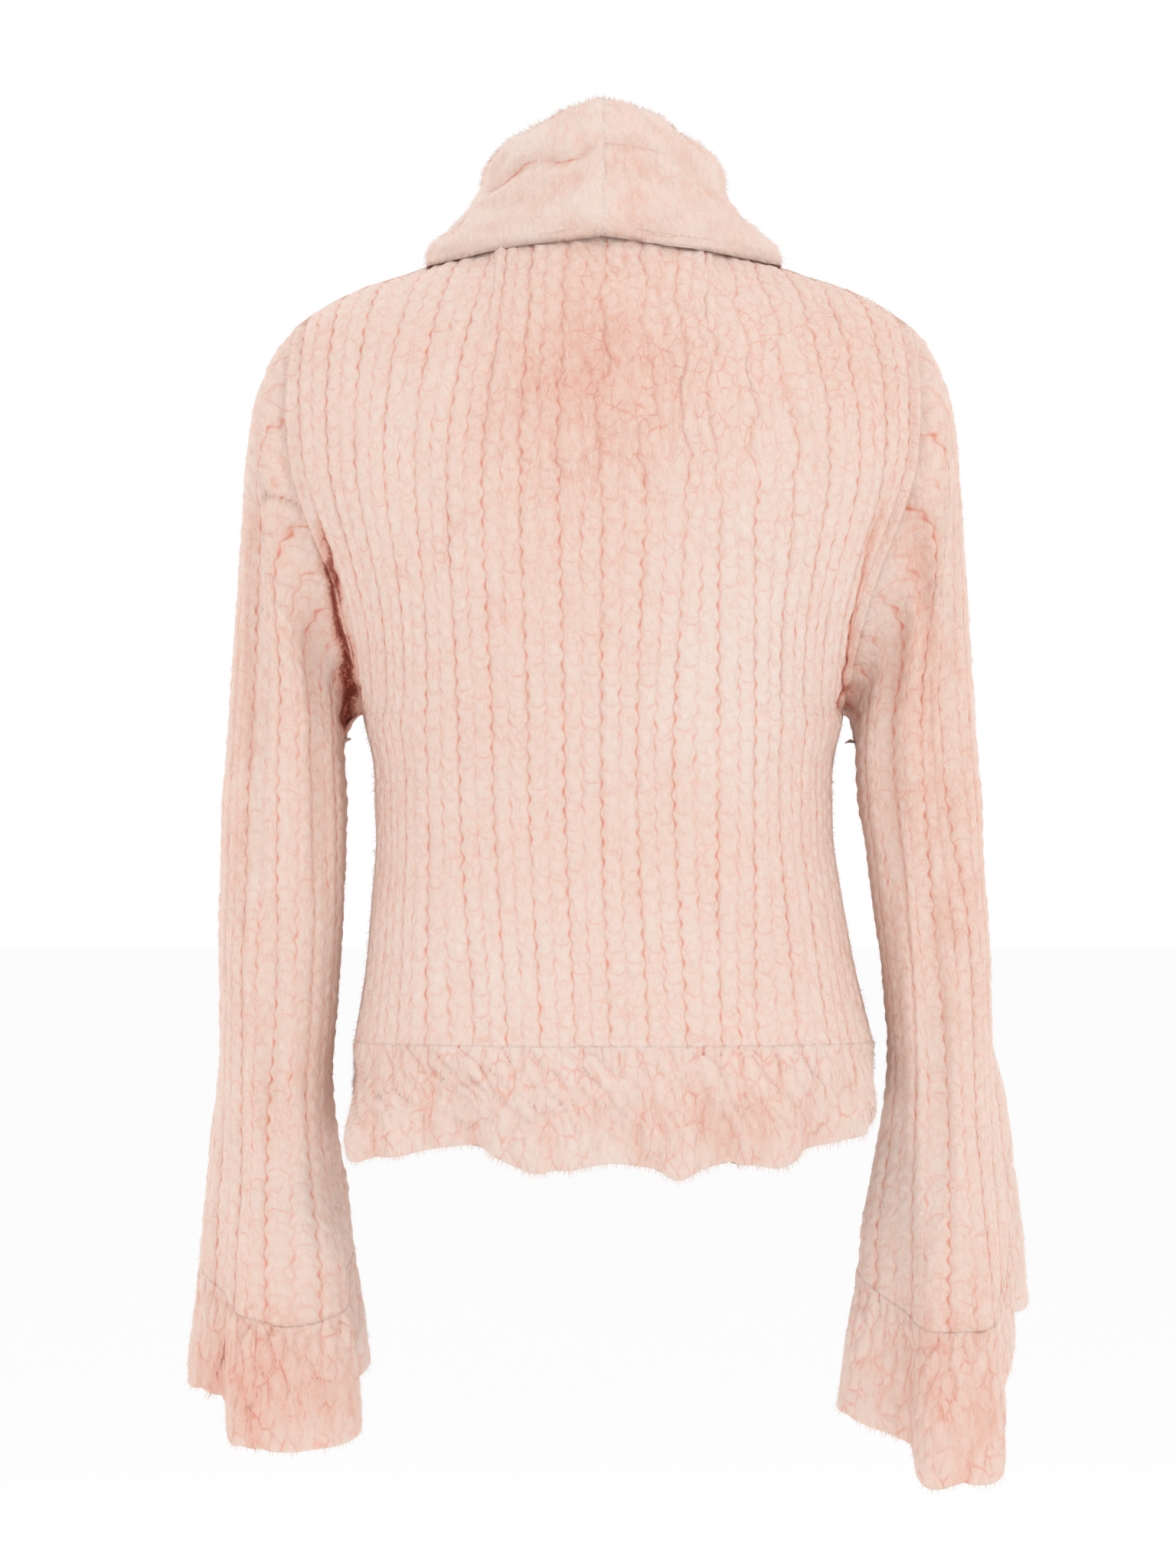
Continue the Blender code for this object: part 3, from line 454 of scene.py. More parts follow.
def sleeve_section(name, sign, height, count):
    """One ring of a sleeve's straight part with its columns evenly round it, and the
    outward direction and angle of each. height may differ from column to column."""
    turn = np.linspace(0.0, 2.0 * math.pi, 721)
    values = {
        key: np.asarray(read(SLEEVE_COLUMNS, SLEEVE_ROWS[name], key, height))
        for key in SLEEVE_COLUMNS[1:]
    }
    half_width = float(np.mean(values["half_width"]))
    half_depth = float(np.mean(values["half_depth"]))
    power = 2.0 / SLEEVE_POWER
    x = half_width * np.sign(np.cos(turn)) * np.abs(np.cos(turn)) ** power
    y = half_depth * np.sign(np.sin(turn)) * np.abs(np.sin(turn)) ** power
    length = np.concatenate([[0.0], np.cumsum(np.hypot(np.diff(x), np.diff(y)))])
    even = length[-1] * np.arange(count) / count
    angle = np.degrees(np.interp(even, length, turn))
    x, y = np.interp(even, length, x), np.interp(even, length, y)
    outward = unit(np.stack([x / half_width**2, y / half_depth**2, 0.0 * x], -1))
    points = np.stack(
        [values["outward"] + x, y - values["forward"], np.zeros(count) + height], -1
    )
    points -= outward * fold_depth(name, angle, height)[:, None]
    points[:, 0] *= sign
    outward[:, 0] *= sign
    return points, outward, angle


def armhole(back, front, column):
    """The loop round an armhole, from the shoulder point down the back edge, through
    the underarm and up the front edge, with the seam's gap and the way out."""
    loops = []
    for grid in (0, 1):
        b = back[grid][SIDE_ROWS:, column]
        f = front[grid][SIDE_ROWS:, -1]
        top, low = 0.5 * (b[-1] + f[-1]), 0.5 * (b[0] + f[0])
        loop = np.concatenate([[top], b[-2:0:-1], [low], f[1:-1]])
        mids = 0.5 * (loop + np.roll(loop, -1, axis=0))
        loops.append(np.stack([loop, mids], 1).reshape(-1, 3))
    inward = 1 if column == 0 else -2
    b = back[0][SIDE_ROWS:, inward]
    f = front[0][SIDE_ROWS:, -2]
    below = 0.5 * (back[0][SIDE_ROWS - 1, column] + front[0][SIDE_ROWS - 1, -1])
    loop = np.concatenate([[0.5 * (b[-1] + f[-1])], b[-2:0:-1], [below], f[1:-1]])
    mids = 0.5 * (loop + np.roll(loop, -1, axis=0))
    next_to = np.stack([loop, mids], 1).reshape(-1, 3)
    outer, inner = loops
    start, start_inner, away = sewn_on(outer, inner, outer - next_to, TUBE_GAP, True)
    return start, start_inner, away, unit(outer - inner)


def sleeve(name, sign, back, front):
    """Outer and inner grids of a sleeve: the cap leaves the armhole and turns down,
    then the straight part runs to the bell and the cuff's seam."""
    column = -1 if sign > 0 else 0
    start, start_inner, away, body_normal = armhole(back, front, column)
    count = len(start)
    ring, outward, angle = sleeve_section(name, sign, SLEEVE_STRAIGHT_TOP, count)
    share = np.arange(count) / count
    sideways = np.abs(np.sin(2.0 * math.pi * share))[:, None]
    direction = unit(away + 0.8 * sideways * body_normal)
    reach = np.linalg.norm(ring - start, axis=1)[:, None]
    near_top = (0.5 + 0.5 * np.cos(2.0 * math.pi * share))[:, None]
    first = start + direction * (0.14 * near_top + 0.4 * (1 - near_top)) * reach
    lean_in = np.array([-0.07 * sign, 0.0, 1.0])
    last = ring + lean_in * reach * (0.42 + 0.2 * near_top)
    rows = []
    for step in np.linspace(0.0, 1.0, CAP_ROWS + 1):
        rest = 1.0 - step
        point = rest**3 * start + 3.0 * rest**2 * step * first
        point = point + 3.0 * rest * step**2 * last + step**3 * ring
        troughs = fold_depth(name, angle, point[:, 2]) * soft_step(2.5 * step) * rest
        rows.append(point - outward * troughs[:, None])
    seam_height = read_round(CUFF_COLUMNS, CUFF_ROWS[name], "seam_height", angle)
    seam_out = read_round(CUFF_COLUMNS, CUFF_ROWS[name], "seam_out", angle)
    for step in np.linspace(0.0, 1.0, TUBE_ROWS + 1)[1:]:
        height = SLEEVE_STRAIGHT_TOP + (seam_height - SLEEVE_STRAIGHT_TOP) * step
        points, outward, _ = sleeve_section(name, sign, height, count)
        bell = soft_step((step - 0.5) / 0.5) ** 1.3
        rows.append(points + outward * (seam_out * bell)[:, None])
    smooth = np.array(rows)
    normals = surface_normals(smooth, closed=True)
    if np.sum(normals[CAP_ROWS] * outward) < 0.0:
        normals = -normals
    depth = RIB_DEPTH * rib_profile(count)[None, :, None]
    outer = smooth - normals * depth * row_fade(len(smooth))[:, None, None]
    inner = smooth - normals * KNIT_WALL
    inner[0] = start_inner
    return outer, inner, smooth, angle


def cuff(name, sign, sleeve_outer, sleeve_inner, angle):
    """Outer and inner grids of a gathered cuff, from the bell's seam to its edge."""
    lead = sleeve_outer[-1] - sleeve_outer[-2]
    top, top_inner, _ = sewn_on(sleeve_outer[-1], sleeve_inner[-1], lead, TUBE_GAP, True)
    edge_height = read_round(CUFF_COLUMNS, CUFF_ROWS[name], "edge_height", angle)
    edge_out = read_round(CUFF_COLUMNS, CUFF_ROWS[name], "edge_out", angle)
    points, outward, _ = sleeve_section(name, sign, edge_height, len(angle))
    edge = points + outward * edge_out[:, None]
    rows = [top]
    for step in (0.18, 0.5, 0.84, 1.0):
        swell = 3.0 * math.sin(math.pi * step) ** 0.8
        rows.append(top + (edge - top) * step + outward * swell)
    smooth = np.array(rows)
    normals = surface_normals(smooth, closed=True)
    if np.sum(normals[2] * outward) < 0.0:
        normals = -normals
    inner = smooth - normals * KNIT_WALL
    inner[0] = top_inner
    return rounded_edge(smooth, inner)


def rounded_edge(outer, inner):
    """Draws the last row of a plush edge together, so that it ends round."""
    middle = 0.5 * (outer[-1] + inner[-1])
    outer[-1] = middle + 0.5 * (outer[-1] - middle)
    inner[-1] = middle + 0.5 * (inner[-1] - middle)
    return outer, inner


def hem_band(side, sign, body_outer, body_inner):
    """Outer and inner grids of a gathered hem band below a body panel."""
    down = np.array([0.0, 0.0, -SEAM_GAP])
    top = body_outer[0] + down
    top_inner = body_inner[0] + down
    half = np.linspace(0.0, 1.0, RIBS * PER_RIB + 1)
    if side > 0:
        place = np.concatenate([-half[::-1], half[1:]])
    else:
        place = sign * (2.0 - half)
    out = read(HEM_COLUMNS, HEM_ROWS, "outward", place)
    low = read(HEM_COLUMNS, HEM_ROWS, "height", place)
    away = top - top_inner
    away[:, 2] = 0.0
    away = unit(away)

    def level_normals(row):
        """Level directions out of a row, square to the seams at its ends."""
        turned = unit(np.cross(np.gradient(row, axis=0), np.array([0.0, 0.0, 1.0])))
        turned *= np.sign(np.sum(turned * away, axis=1))[:, None]
        turned[np.abs(top[:, 1]) < 1.0, 1] = 0.0
        if side < 0:
            turned[0, 0] = 0.0
        return unit(turned)

    square = level_normals(top)
    rows, inner_rows = [top], [top_inner]
    for step in (0.14, 0.4, 0.7, 0.9, 1.0):
        flare = (out * soft_step(1.15 * step) + 3.0 * math.sin(math.pi * step))[:, None]
        drop = ((low - top[:, 2]) * step)[:, None] * np.array([0.0, 0.0, 1.0])
        row = top + drop + square * flare
        rows.append(row)
        wall = KNIT_WALL + (PLUSH_WALL - KNIT_WALL) * math.sin(0.5 * math.pi * step)
        inner_rows.append(row - level_normals(row) * wall)
    return np.array(rows), np.array(inner_rows)


def surface_tree(grids):
    """The outer surfaces of body panels, for finding what lies on them."""
    corners, faces = [], []
    for outer, _ in grids:
        rows, columns = outer.shape[:2]
        first = len(corners)
        corners.extend(Vector(point) for point in outer.reshape(-1, 3))
        for r in range(rows - 1):
            for c in range(columns - 1):
                k = first + r * columns + c
                faces.append((k, k + 1, k + columns + 1, k + columns))
    return BVHTree.FromPolygons(corners, faces)


def kept_clear(points, tree, clear):
    """The points, raised where they lie lower than clear over the body near them."""
    down = Vector((0.0, 0.0, -1.0))
    near = [(0.0, 0.0)]
    near += [(10.0 * math.cos(a), 10.0 * math.sin(a)) for a in np.arange(8) * math.pi / 4]
    raised = points.copy()
    for point in raised:
        x, y = point[:2]
        for number, (dx, dy) in enumerate(near):
            place, normal, _, _ = tree.ray_cast(Vector((x + dx, y + dy, 500.0)), down)
            if place is not None:
                over = 0.6 * clear if number else clear / max(0.5, abs(normal.z))
                point[2] = max(point[2], place.z + over)
    return raised


def collar_half(sign, back, front):
    """Faces of one half of the collar from centre back to centre front: the plush face
    that shows on the fall, and the face that the fall hides."""
    neck_columns = int(round(NECK_SHARE * RIBS * PER_RIB))
    from_back = [RIBS * PER_RIB + sign * k for k in range(neck_columns + 1)]
    centre = BODY_ROWS[-1][1]
    edges = []
    for grid in (0, 1):
        b, f = back[grid][-1, from_back], front[grid][-1, neck_columns::-1]
        edges.append(np.concatenate([b[:-1], [0.5 * (b[-1] + f[0])], f[1:]]))
    outer, inner = edges
    lead = np.array([centre, 0.0, 100.0]) - outer
    low_out, low_in, _ = sewn_on(outer, inner, lead, TUBE_GAP)
    turn = np.linspace(0.0, math.pi, len(outer))
    rings = [0.5 * (low_out + low_in)]
    for row in COLLAR_RINGS:
        ring = dict(zip(COLLAR_COLUMNS, row))
        keys = ("h45", "h0", "h45", "h90", "h135", "h180", "h135")
        heights = [ring[key] for key in keys]
        height = curve_through(COLLAR_ANGLES, heights, np.degrees(turn))
        sine, cosine = np.sin(turn), np.cos(turn)
        depth = np.where(cosine > 0.0, ring["back"], ring["front"])
        across = centre + sign * ring["half_width"] * sine ** (2.0 / ring["power"])
        out = depth * np.sign(cosine) * np.abs(cosine) ** (2.0 / ring["power"])
        rings.append(np.stack([across, out, height], -1))
    middle_line = np.array(rings)
    tree = surface_tree((back, front))
    clear = 0.5 * COLLAR_WALL + FALL_CLEARANCE
    for row in range(FALL_FIRST_RING, len(middle_line)):
        middle_line[row] = kept_clear(middle_line[row], tree, clear)
    at_back, at_front = centre + sign * 0.5 * SEAM_GAP, centre + sign * 0.5 * FRONT_OPENING
    middle_line[:, 0, 0], middle_line[:, -1, 0] = at_back, at_front
    normals = surface_normals(middle_line)
    if np.dot(normals[5, 4], (0.0, 0.0, 1.0)) < 0.0:
        normals = -normals
    normals[:, (0, -1), 0] = 0.0
    normals = unit(normals)
    shown = middle_line + 0.5 * COLLAR_WALL * normals
    hidden = middle_line - 0.5 * COLLAR_WALL * normals
    low_out[0, 0] = low_in[0, 0] = at_back
    low_out[-1, 0] = low_in[-1, 0] = at_front
    shown[0], hidden[0] = low_in, low_out
    return shown, hidden


# How much finer the shells are than the solids, then measures of stitches, seams and hair
FINE = {
    "body": {"rows": 11, "columns": 7},
    "sleeve": {"rows": 14, "columns": 4},
    "band": {"rows": 9, "columns": 6},
    "cuff": {"rows": 14, "columns": 6},
    "collar": {"rows": 9, "columns": 8},
}
INSIDE_STEP = 4
STITCH_WIDTH = 12.6
STITCH_HEIGHT = 13.6
SCALLOP = 0.07
STITCH_ARCH = 1.2
STRAIGHT = 1.6
FAINT_LINE = 1.5
LINE_WIDTH = 0.9
FAR_LINE = 4.0
SEAM_LAP = 1.0
SEAM_TUCK = 0.7
SLEEVE_STITCHES = 24
WALES_TO_SIDE = 232.0
KNIT_REACH = 2.4
PLUSH_REACH = 4.5
COLLAR_REACH = 3.2
SEAM_ROUND = 0.4
SEAM_FADE = 2.5
SEAM_HAIR = 1.2
SEAM_LINE = 1.3
THINNEST_WALL = 1.8
ROOT_DEPTH = 0.6
PLUSH_STITCH = (11.5, 27.0)
BAND_LENGTH_KEPT = 0.95
COLLAR_EASED = 120
NORMALS_EASED = 200
BLADE_COLUMNS = 48
BLADE_MAP_HEIGHT = 0.25


def noise(x, y, seed, around=64):
    """Smooth lumps between -1 and 1 over a plane, about one lump to a unit."""
    table = np.random.default_rng(seed).uniform(-1.0, 1.0, (around, 64))
    x0, y0 = np.floor(x).astype(int), np.floor(y).astype(int)
    fx, fy = soft_step(x - x0), soft_step(y - y0)
    x1, y1 = (x0 + 1) % around, (y0 + 1) % 64
    x0, y0 = x0 % around, y0 % 64
    low = table[x0, y0] * (1.0 - fx) + table[x1, y0] * fx
    high = table[x0, y1] * (1.0 - fx) + table[x1, y1] * fx
    return low * (1.0 - fy) + high * fy


def refined(grid, rows, columns, closed):
    """A grid with more points on smooth curves through the coarse grid's own."""
    for axis, times, wraps in ((0, rows, False), (1, columns, closed)):
        points = np.moveaxis(grid, axis, 0)
        if wraps:
            padded = np.concatenate([points[-1:], points, points[:2]])
        else:
            start = 2.0 * points[:1] - points[1:2]
            end = 2.0 * points[-1:] - points[-2:-1]
            padded = np.concatenate([start, points, end])
        spans = len(padded) - 3
        at = np.arange(spans * times + (0 if wraps else 1)) / times
        k = np.minimum(at.astype(int), spans - 1)
        s = (at - k).reshape((-1,) + (1,) * (points.ndim - 1))
        p0, p1, p2, p3 = (padded[k + n] for n in range(4))
        made = p1 + 0.5 * s * (p2 - p0 + s * (2.0 * p0 - 5.0 * p1 + 4.0 * p2 - p3))
        made = made + 0.5 * s**3 * (3.0 * (p1 - p2) + p3 - p0)
        grid = np.moveaxis(made, 0, axis)
    return grid


def fine_pair(kind, outer, inner, closed):
    """A wall's two faces with the finer points of their kind of piece."""
    rows, columns = FINE[kind]["rows"], FINE[kind]["columns"]
    return refined(outer, rows, columns, closed), refined(inner, rows, columns, closed)


def lengths(grid, axis):
    """Distance along a grid's rows or columns from their first point."""
    steps = np.linalg.norm(np.diff(grid, axis=axis), axis=-1)
    start = np.zeros_like(np.take(steps, [0], axis=axis))
    return np.concatenate([start, np.cumsum(steps, axis=axis)], axis=axis)


def stitches(across, along, size, seed, around, weak, stacked):
    """Plump stitches laid in columns. across and along count stitches; the borders
    between them sink by how far they part two columns, every other one more deeply.
    stacked is how far a border between two stitches of one column sinks and colours.
    The line is a distance in millimetres, which a faint border makes longer."""
    rng = np.random.default_rng(seed)
    jitter = rng.uniform(-1.0, 1.0, (3, around, 128))
    stagger = 0.5 * (np.arange(around) % 2) + 0.15 * rng.uniform(-1.0, 1.0, around)
    strength = np.where(np.arange(around) % 2 == 0, 1.0, weak)
    strength = np.clip(strength + 0.22 * rng.uniform(-1.0, 1.0, around), 0.15, 1.1)
    column = np.floor(across).astype(int)
    places = []
    for beside in (-1, 0, 1):
        c = column + beside
        k = c % around
        first = np.floor(along - stagger[k]).astype(int)
        for above in (-1, 0, 1):
            r = first + above
            x = c + 0.5 + 0.15 * jitter[0, k, r % 128]
            y = r + 0.5 + stagger[k] + 0.27 * jitter[1, k, r % 128]
            places.append(np.stack([x, y, c, jitter[2, k, r % 128]]))
    places = np.array(places)
    off_x = (across - places[:, 0]) * size[0] * STRAIGHT
    off_y = (along - places[:, 1]) * size[1]
    square = off_x**2 + off_y**2
    own = np.argmin(square, axis=0)[None]
    mine = np.take_along_axis(places, own[:, None], axis=0)[0]
    nearest = np.take_along_axis(square, own, axis=0)[0]
    dx = (places[:, 0] - mine[0]) * size[0] * STRAIGHT
    dy = (places[:, 1] - mine[1]) * size[1]
    apart = np.hypot(dx, dy)
    parted = apart > 1e-6
    apart = np.where(parted, apart, 1.0)
    edge = np.where(parted, (square - nearest) / (2.0 * apart), 1e3)
    border = np.maximum(places[:, 2], mine[2]).astype(int) % around
    sideways = (dx / apart) ** 2
    edge = edge / np.sqrt(1.0 + (STRAIGHT**2 - 1.0) * sideways)
    sunk = sideways * strength[border] + (1.0 - sideways) * stacked[0]
    coloured = sideways * strength[border] ** 1.5 + (1.0 - sideways) * stacked[1]
    dip = np.max(sunk * np.exp(-((edge / (0.27 * size[0])) ** 1.5)), axis=0)
    line = np.min(edge + FAINT_LINE * (1.0 - coloured), axis=0)
    return dip, line, mine[3]


def rounded_rims(outer, inner, radii):
    """Draws the wall's two faces together towards each rim that has a radius, so that
    the rim is round. radii are for the first and last rows, then columns."""
    first_row, last_row, first_column, last_column = radii
    share = np.ones(outer.shape[:2])
    down, across = lengths(outer, 0), lengths(outer, 1)
    for distance, radius in (
        (down, first_row),
        (down[-1:] - down, last_row),
        (across, first_column),
        (across[:, -1:] - across, last_column),
    ):
        if radius > SEAM_ROUND:
            near = np.clip(distance / radius, 0.0, 1.0)
            share = np.minimum(share, np.sqrt(1.0 - (1.0 - near) ** 2))
    share = (0.22 + 0.78 * share)[:, :, None]
    middle = 0.5 * (outer + inner)
    return middle + (outer - middle) * share, middle + (inner - middle) * share


def lapped(grid, other, sides):
    """Moves the borders that are sewn to a neighbour on and a little into the wall, so
    that neither a gap nor an edge shows."""
    grid = grid.copy()
    into = unit(other - grid)
    for axis, ends in enumerate((sides[:2], sides[2:])):
        points, inward = np.moveaxis(grid, axis, 0), np.moveaxis(into, axis, 0)
        if ends[0] == SEAM_ROUND:
            points[0] += SEAM_LAP * unit(points[0] - points[1]) + SEAM_TUCK * inward[0]
        if ends[1] == SEAM_ROUND:
            points[-1] += SEAM_LAP * unit(points[-1] - points[-2]) + SEAM_TUCK * inward[-1]
    return grid


def zipped(one, other):
    """Triangles that join two rows of points of unlike counts over the same length."""
    faces = []
    i = j = 0
    while i < len(one) - 1 or j < len(other) - 1:
        next_one = (i + 1) / (len(one) - 1)
        next_other = (j + 1) / (len(other) - 1)
        if j >= len(other) - 1 or (i < len(one) - 1 and next_one <= next_other):
            faces.append((one[i], one[i + 1], other[j]))
            i += 1
        else:
            faces.append((one[i], other[j + 1], other[j]))
            j += 1
    return faces


def spaced(count, step):
    """Every so many of a row of points, with the last one kept."""
    return np.unique(np.append(np.arange(0, count, step), count - 1))


def shell(name, outer, inner, closed, values, stitch, rims):
    """A closed wall of cloth: a fine outside, a coarser inside and joined rims. values
    are numbers at each point of the outside that its material reads, and stitch counts
    the columns and rows of stitches there. A sewn rim keeps its edge, so that the
    shading runs on over the seam."""
    rows, columns = outer.shape[:2]
    keep_rows = spaced(rows, INSIDE_STEP)
    keep_columns = np.arange(0, columns, INSIDE_STEP) if closed else spaced(columns, INSIDE_STEP)
    kept = np.ix_(keep_rows, keep_columns)
    coarse = inner[kept]
    out_index = np.arange(rows * columns).reshape(rows, columns)
    in_index = rows * columns + np.arange(coarse.shape[0] * coarse.shape[1])
    in_index = in_index.reshape(coarse.shape[:2])
    if closed:
        out_index = np.concatenate([out_index, out_index[:, :1]], axis=1)
        in_index = np.concatenate([in_index, in_index[:, :1]], axis=1)

    def quads(index):
        corners = (index[:-1, :-1], index[:-1, 1:], index[1:, 1:], index[1:, :-1])
        return np.stack(corners, -1).reshape(-1, 4)

    faces = [*quads(out_index).tolist(), *quads(in_index)[:, ::-1].tolist()]
    smooth = [True] * len(faces)
    borders = [(out_index[0][::-1], in_index[0][::-1]), (out_index[-1], in_index[-1])]
    if not closed:
        borders += [(out_index[:, 0], in_index[:, 0]), (out_index[::-1, -1], in_index[::-1, -1])]
    for (outside, inside_row), radius in zip(borders, rims):
        rim = zipped(outside.tolist(), inside_row.tolist())
        faces += rim
        smooth += [radius != SEAM_ROUND] * len(rim)
    points = np.concatenate([outer.reshape(-1, 3), coarse.reshape(-1, 3)]) * MM
    mesh = bpy.data.meshes.new(name)
    mesh.from_pydata(points.tolist(), [], faces)
    if signed_volume(mesh) < 0.0:
        mesh.flip_normals()
    mesh.polygons.foreach_set("use_smooth", smooth)
    for key, value in values.items():
        layer = mesh.attributes.new(key, "FLOAT", "POINT")
        both = np.concatenate([value.reshape(-1), value[kept].reshape(-1)])
        layer.data.foreach_set("value", both)
    counted = np.concatenate([stitch.reshape(-1, 2), stitch[kept].reshape(-1, 2)])
    grid_map(mesh, rows, columns, keep_rows, keep_columns, counted)
    return placed(name, mesh)


def placed(name, data):
    """A new object in the scene."""
    made = bpy.data.objects.new(name, data)
    bpy.context.scene.collection.objects.link(made)
    return made


def signed_volume(mesh):
    mesh.calc_loop_triangles()
    places = np.empty(len(mesh.vertices) * 3)
    mesh.vertices.foreach_get("co", places)
    corners = np.empty(len(mesh.loop_triangles) * 3, dtype=np.int32)
    mesh.loop_triangles.foreach_get("vertices", corners)
    a, b, c = np.moveaxis(places.reshape(-1, 3)[corners].reshape(-1, 3, 3), 1, 0)
    return float(np.sum(a * np.cross(b, c)) / 6.0)


def grid_map(mesh, rows, columns, keep_rows, keep_columns, counted):
    """The shell's flat map: its outside in the lower half and its inside above. A
    second map has its stitches, counted at each point."""
    u, v = np.meshgrid(np.arange(columns) / columns, np.arange(rows) / rows)
    outside = np.stack([0.01 + 0.97 * u, 0.005 + 0.6 * v], -1).reshape(-1, 2)
    u, v = np.meshgrid(keep_columns / columns, keep_rows / rows)
    inside = np.stack([0.01 + 0.97 * u, 0.62 + 0.37 * v], -1).reshape(-1, 2)
    places = np.concatenate([outside, inside])
    loops = np.empty(len(mesh.loops), dtype=np.int32)
    mesh.loops.foreach_get("vertex_index", loops)
    uv = places[loops]
    starts = np.empty(len(mesh.polygons), dtype=np.int32)
    mesh.polygons.foreach_get("loop_start", starts)
    face = np.repeat(np.arange(len(starts)), np.diff(np.append(starts, len(uv))))
    widest = np.zeros(len(starts))
    np.maximum.at(widest, face, uv[:, 0])
    wraps = (widest[face] > 0.9) & (uv[:, 0] < 0.1)
    uv[wraps, 0] = 0.985
    layer = mesh.uv_layers.new(name="OFBake")
    layer.data.foreach_set("uv", uv.reshape(-1))
    stitch = counted[loops]
    stitch[wraps, 0] += np.round(counted[:, 0].max())
    layer = mesh.uv_layers.new(name="stitch")
    layer.data.foreach_set("uv", stitch.reshape(-1))


def oriented(points, inner, closed):
    """Unit normals of a fine grid, on the side away from the wall's inside."""
    normals = surface_normals(points, closed)
    if np.sum(normals * (points - inner)) < 0.0:
        normals = -normals
    return normals


# Patches of the whole jacket that are more salmon (below 0) or creamier (above 0):
# place across and up in millimetres, reach each way, amount, and side (1 back, -1 front).
# The two that darken the sleeves' outer sides are painted shade
TONE_COLUMNS = ("across", "height", "wide", "tall", "amount", "side")
TONE_ROWS = (
    (22.0, -45.0, 55.0, 80.0, -0.20, 1),
    (-45.0, -60.0, 75.0, 65.0, -0.13, 1),
    (150.0, -25.0, 60.0, 25.0, -0.12, 1),
    (-170.0, -45.0, 40.0, 60.0, -0.12, 1),
    (110.0, -330.0, 40.0, 150.0, 0.05, 1),
    (-90.0, -250.0, 50.0, 130.0, 0.14, 1),
    (20.0, -300.0, 45.0, 150.0, 0.04, 1),
    (-100.0, -545.0, 90.0, 35.0, -0.16, 1),
    (90.0, -530.0, 80.0, 35.0, -0.08, 1),
    (205.0, -190.0, 32.0, 110.0, -0.06, 1),
    (-215.0, -230.0, 24.0, 150.0, -0.20, 1),
    # The next two rows darken the sleeves' outer sides: painted shade
    (-262.0, -280.0, 26.0, 260.0, -0.15, 1),
    (262.0, -280.0, 26.0, 260.0, -0.10, 1),
    (235.0, -725.0, 70.0, 60.0, -0.30, 1),
    (-235.0, -725.0, 70.0, 70.0, -0.28, 1),
    (0.0, -150.0, 90.0, 80.0, -0.15, -1),
    (70.0, -400.0, 60.0, 120.0, 0.06, -1),
    (-80.0, -330.0, 60.0, 120.0, 0.06, -1),
    (0.0, -540.0, 160.0, 40.0, -0.15, -1),
)
TONE = 0.62
LOBE_WIDTH = 34.5
LOBE_DEPTH = 6.5
COLLAR_SETTLED = 5.5
LOBE_NOTCH = 0.09
COLLAR_PUFF = 3.5
COLLAR_FRONT = 105.0
COLLAR_EDGE = 13.0
CREASE_PARTS = 10
# Radii of the rims, first and last row, then first and last column, by kind of piece
RIMS = {
    "back": (SEAM_ROUND, SEAM_ROUND, SEAM_ROUND, SEAM_ROUND),
    "front": (SEAM_ROUND, SEAM_ROUND, 4.0, SEAM_ROUND),
    "hem_back": (SEAM_ROUND, 9.0, SEAM_ROUND, SEAM_ROUND),
    "hem_front": (SEAM_ROUND, 9.0, 4.0, SEAM_ROUND),
    "sleeve": (SEAM_ROUND, SEAM_ROUND, 0.0, 0.0),
    "cuff": (SEAM_ROUND, 9.0, 0.0, 0.0),
    "collar": (SEAM_ROUND, 0.0, SEAM_ROUND, 6.0),
}
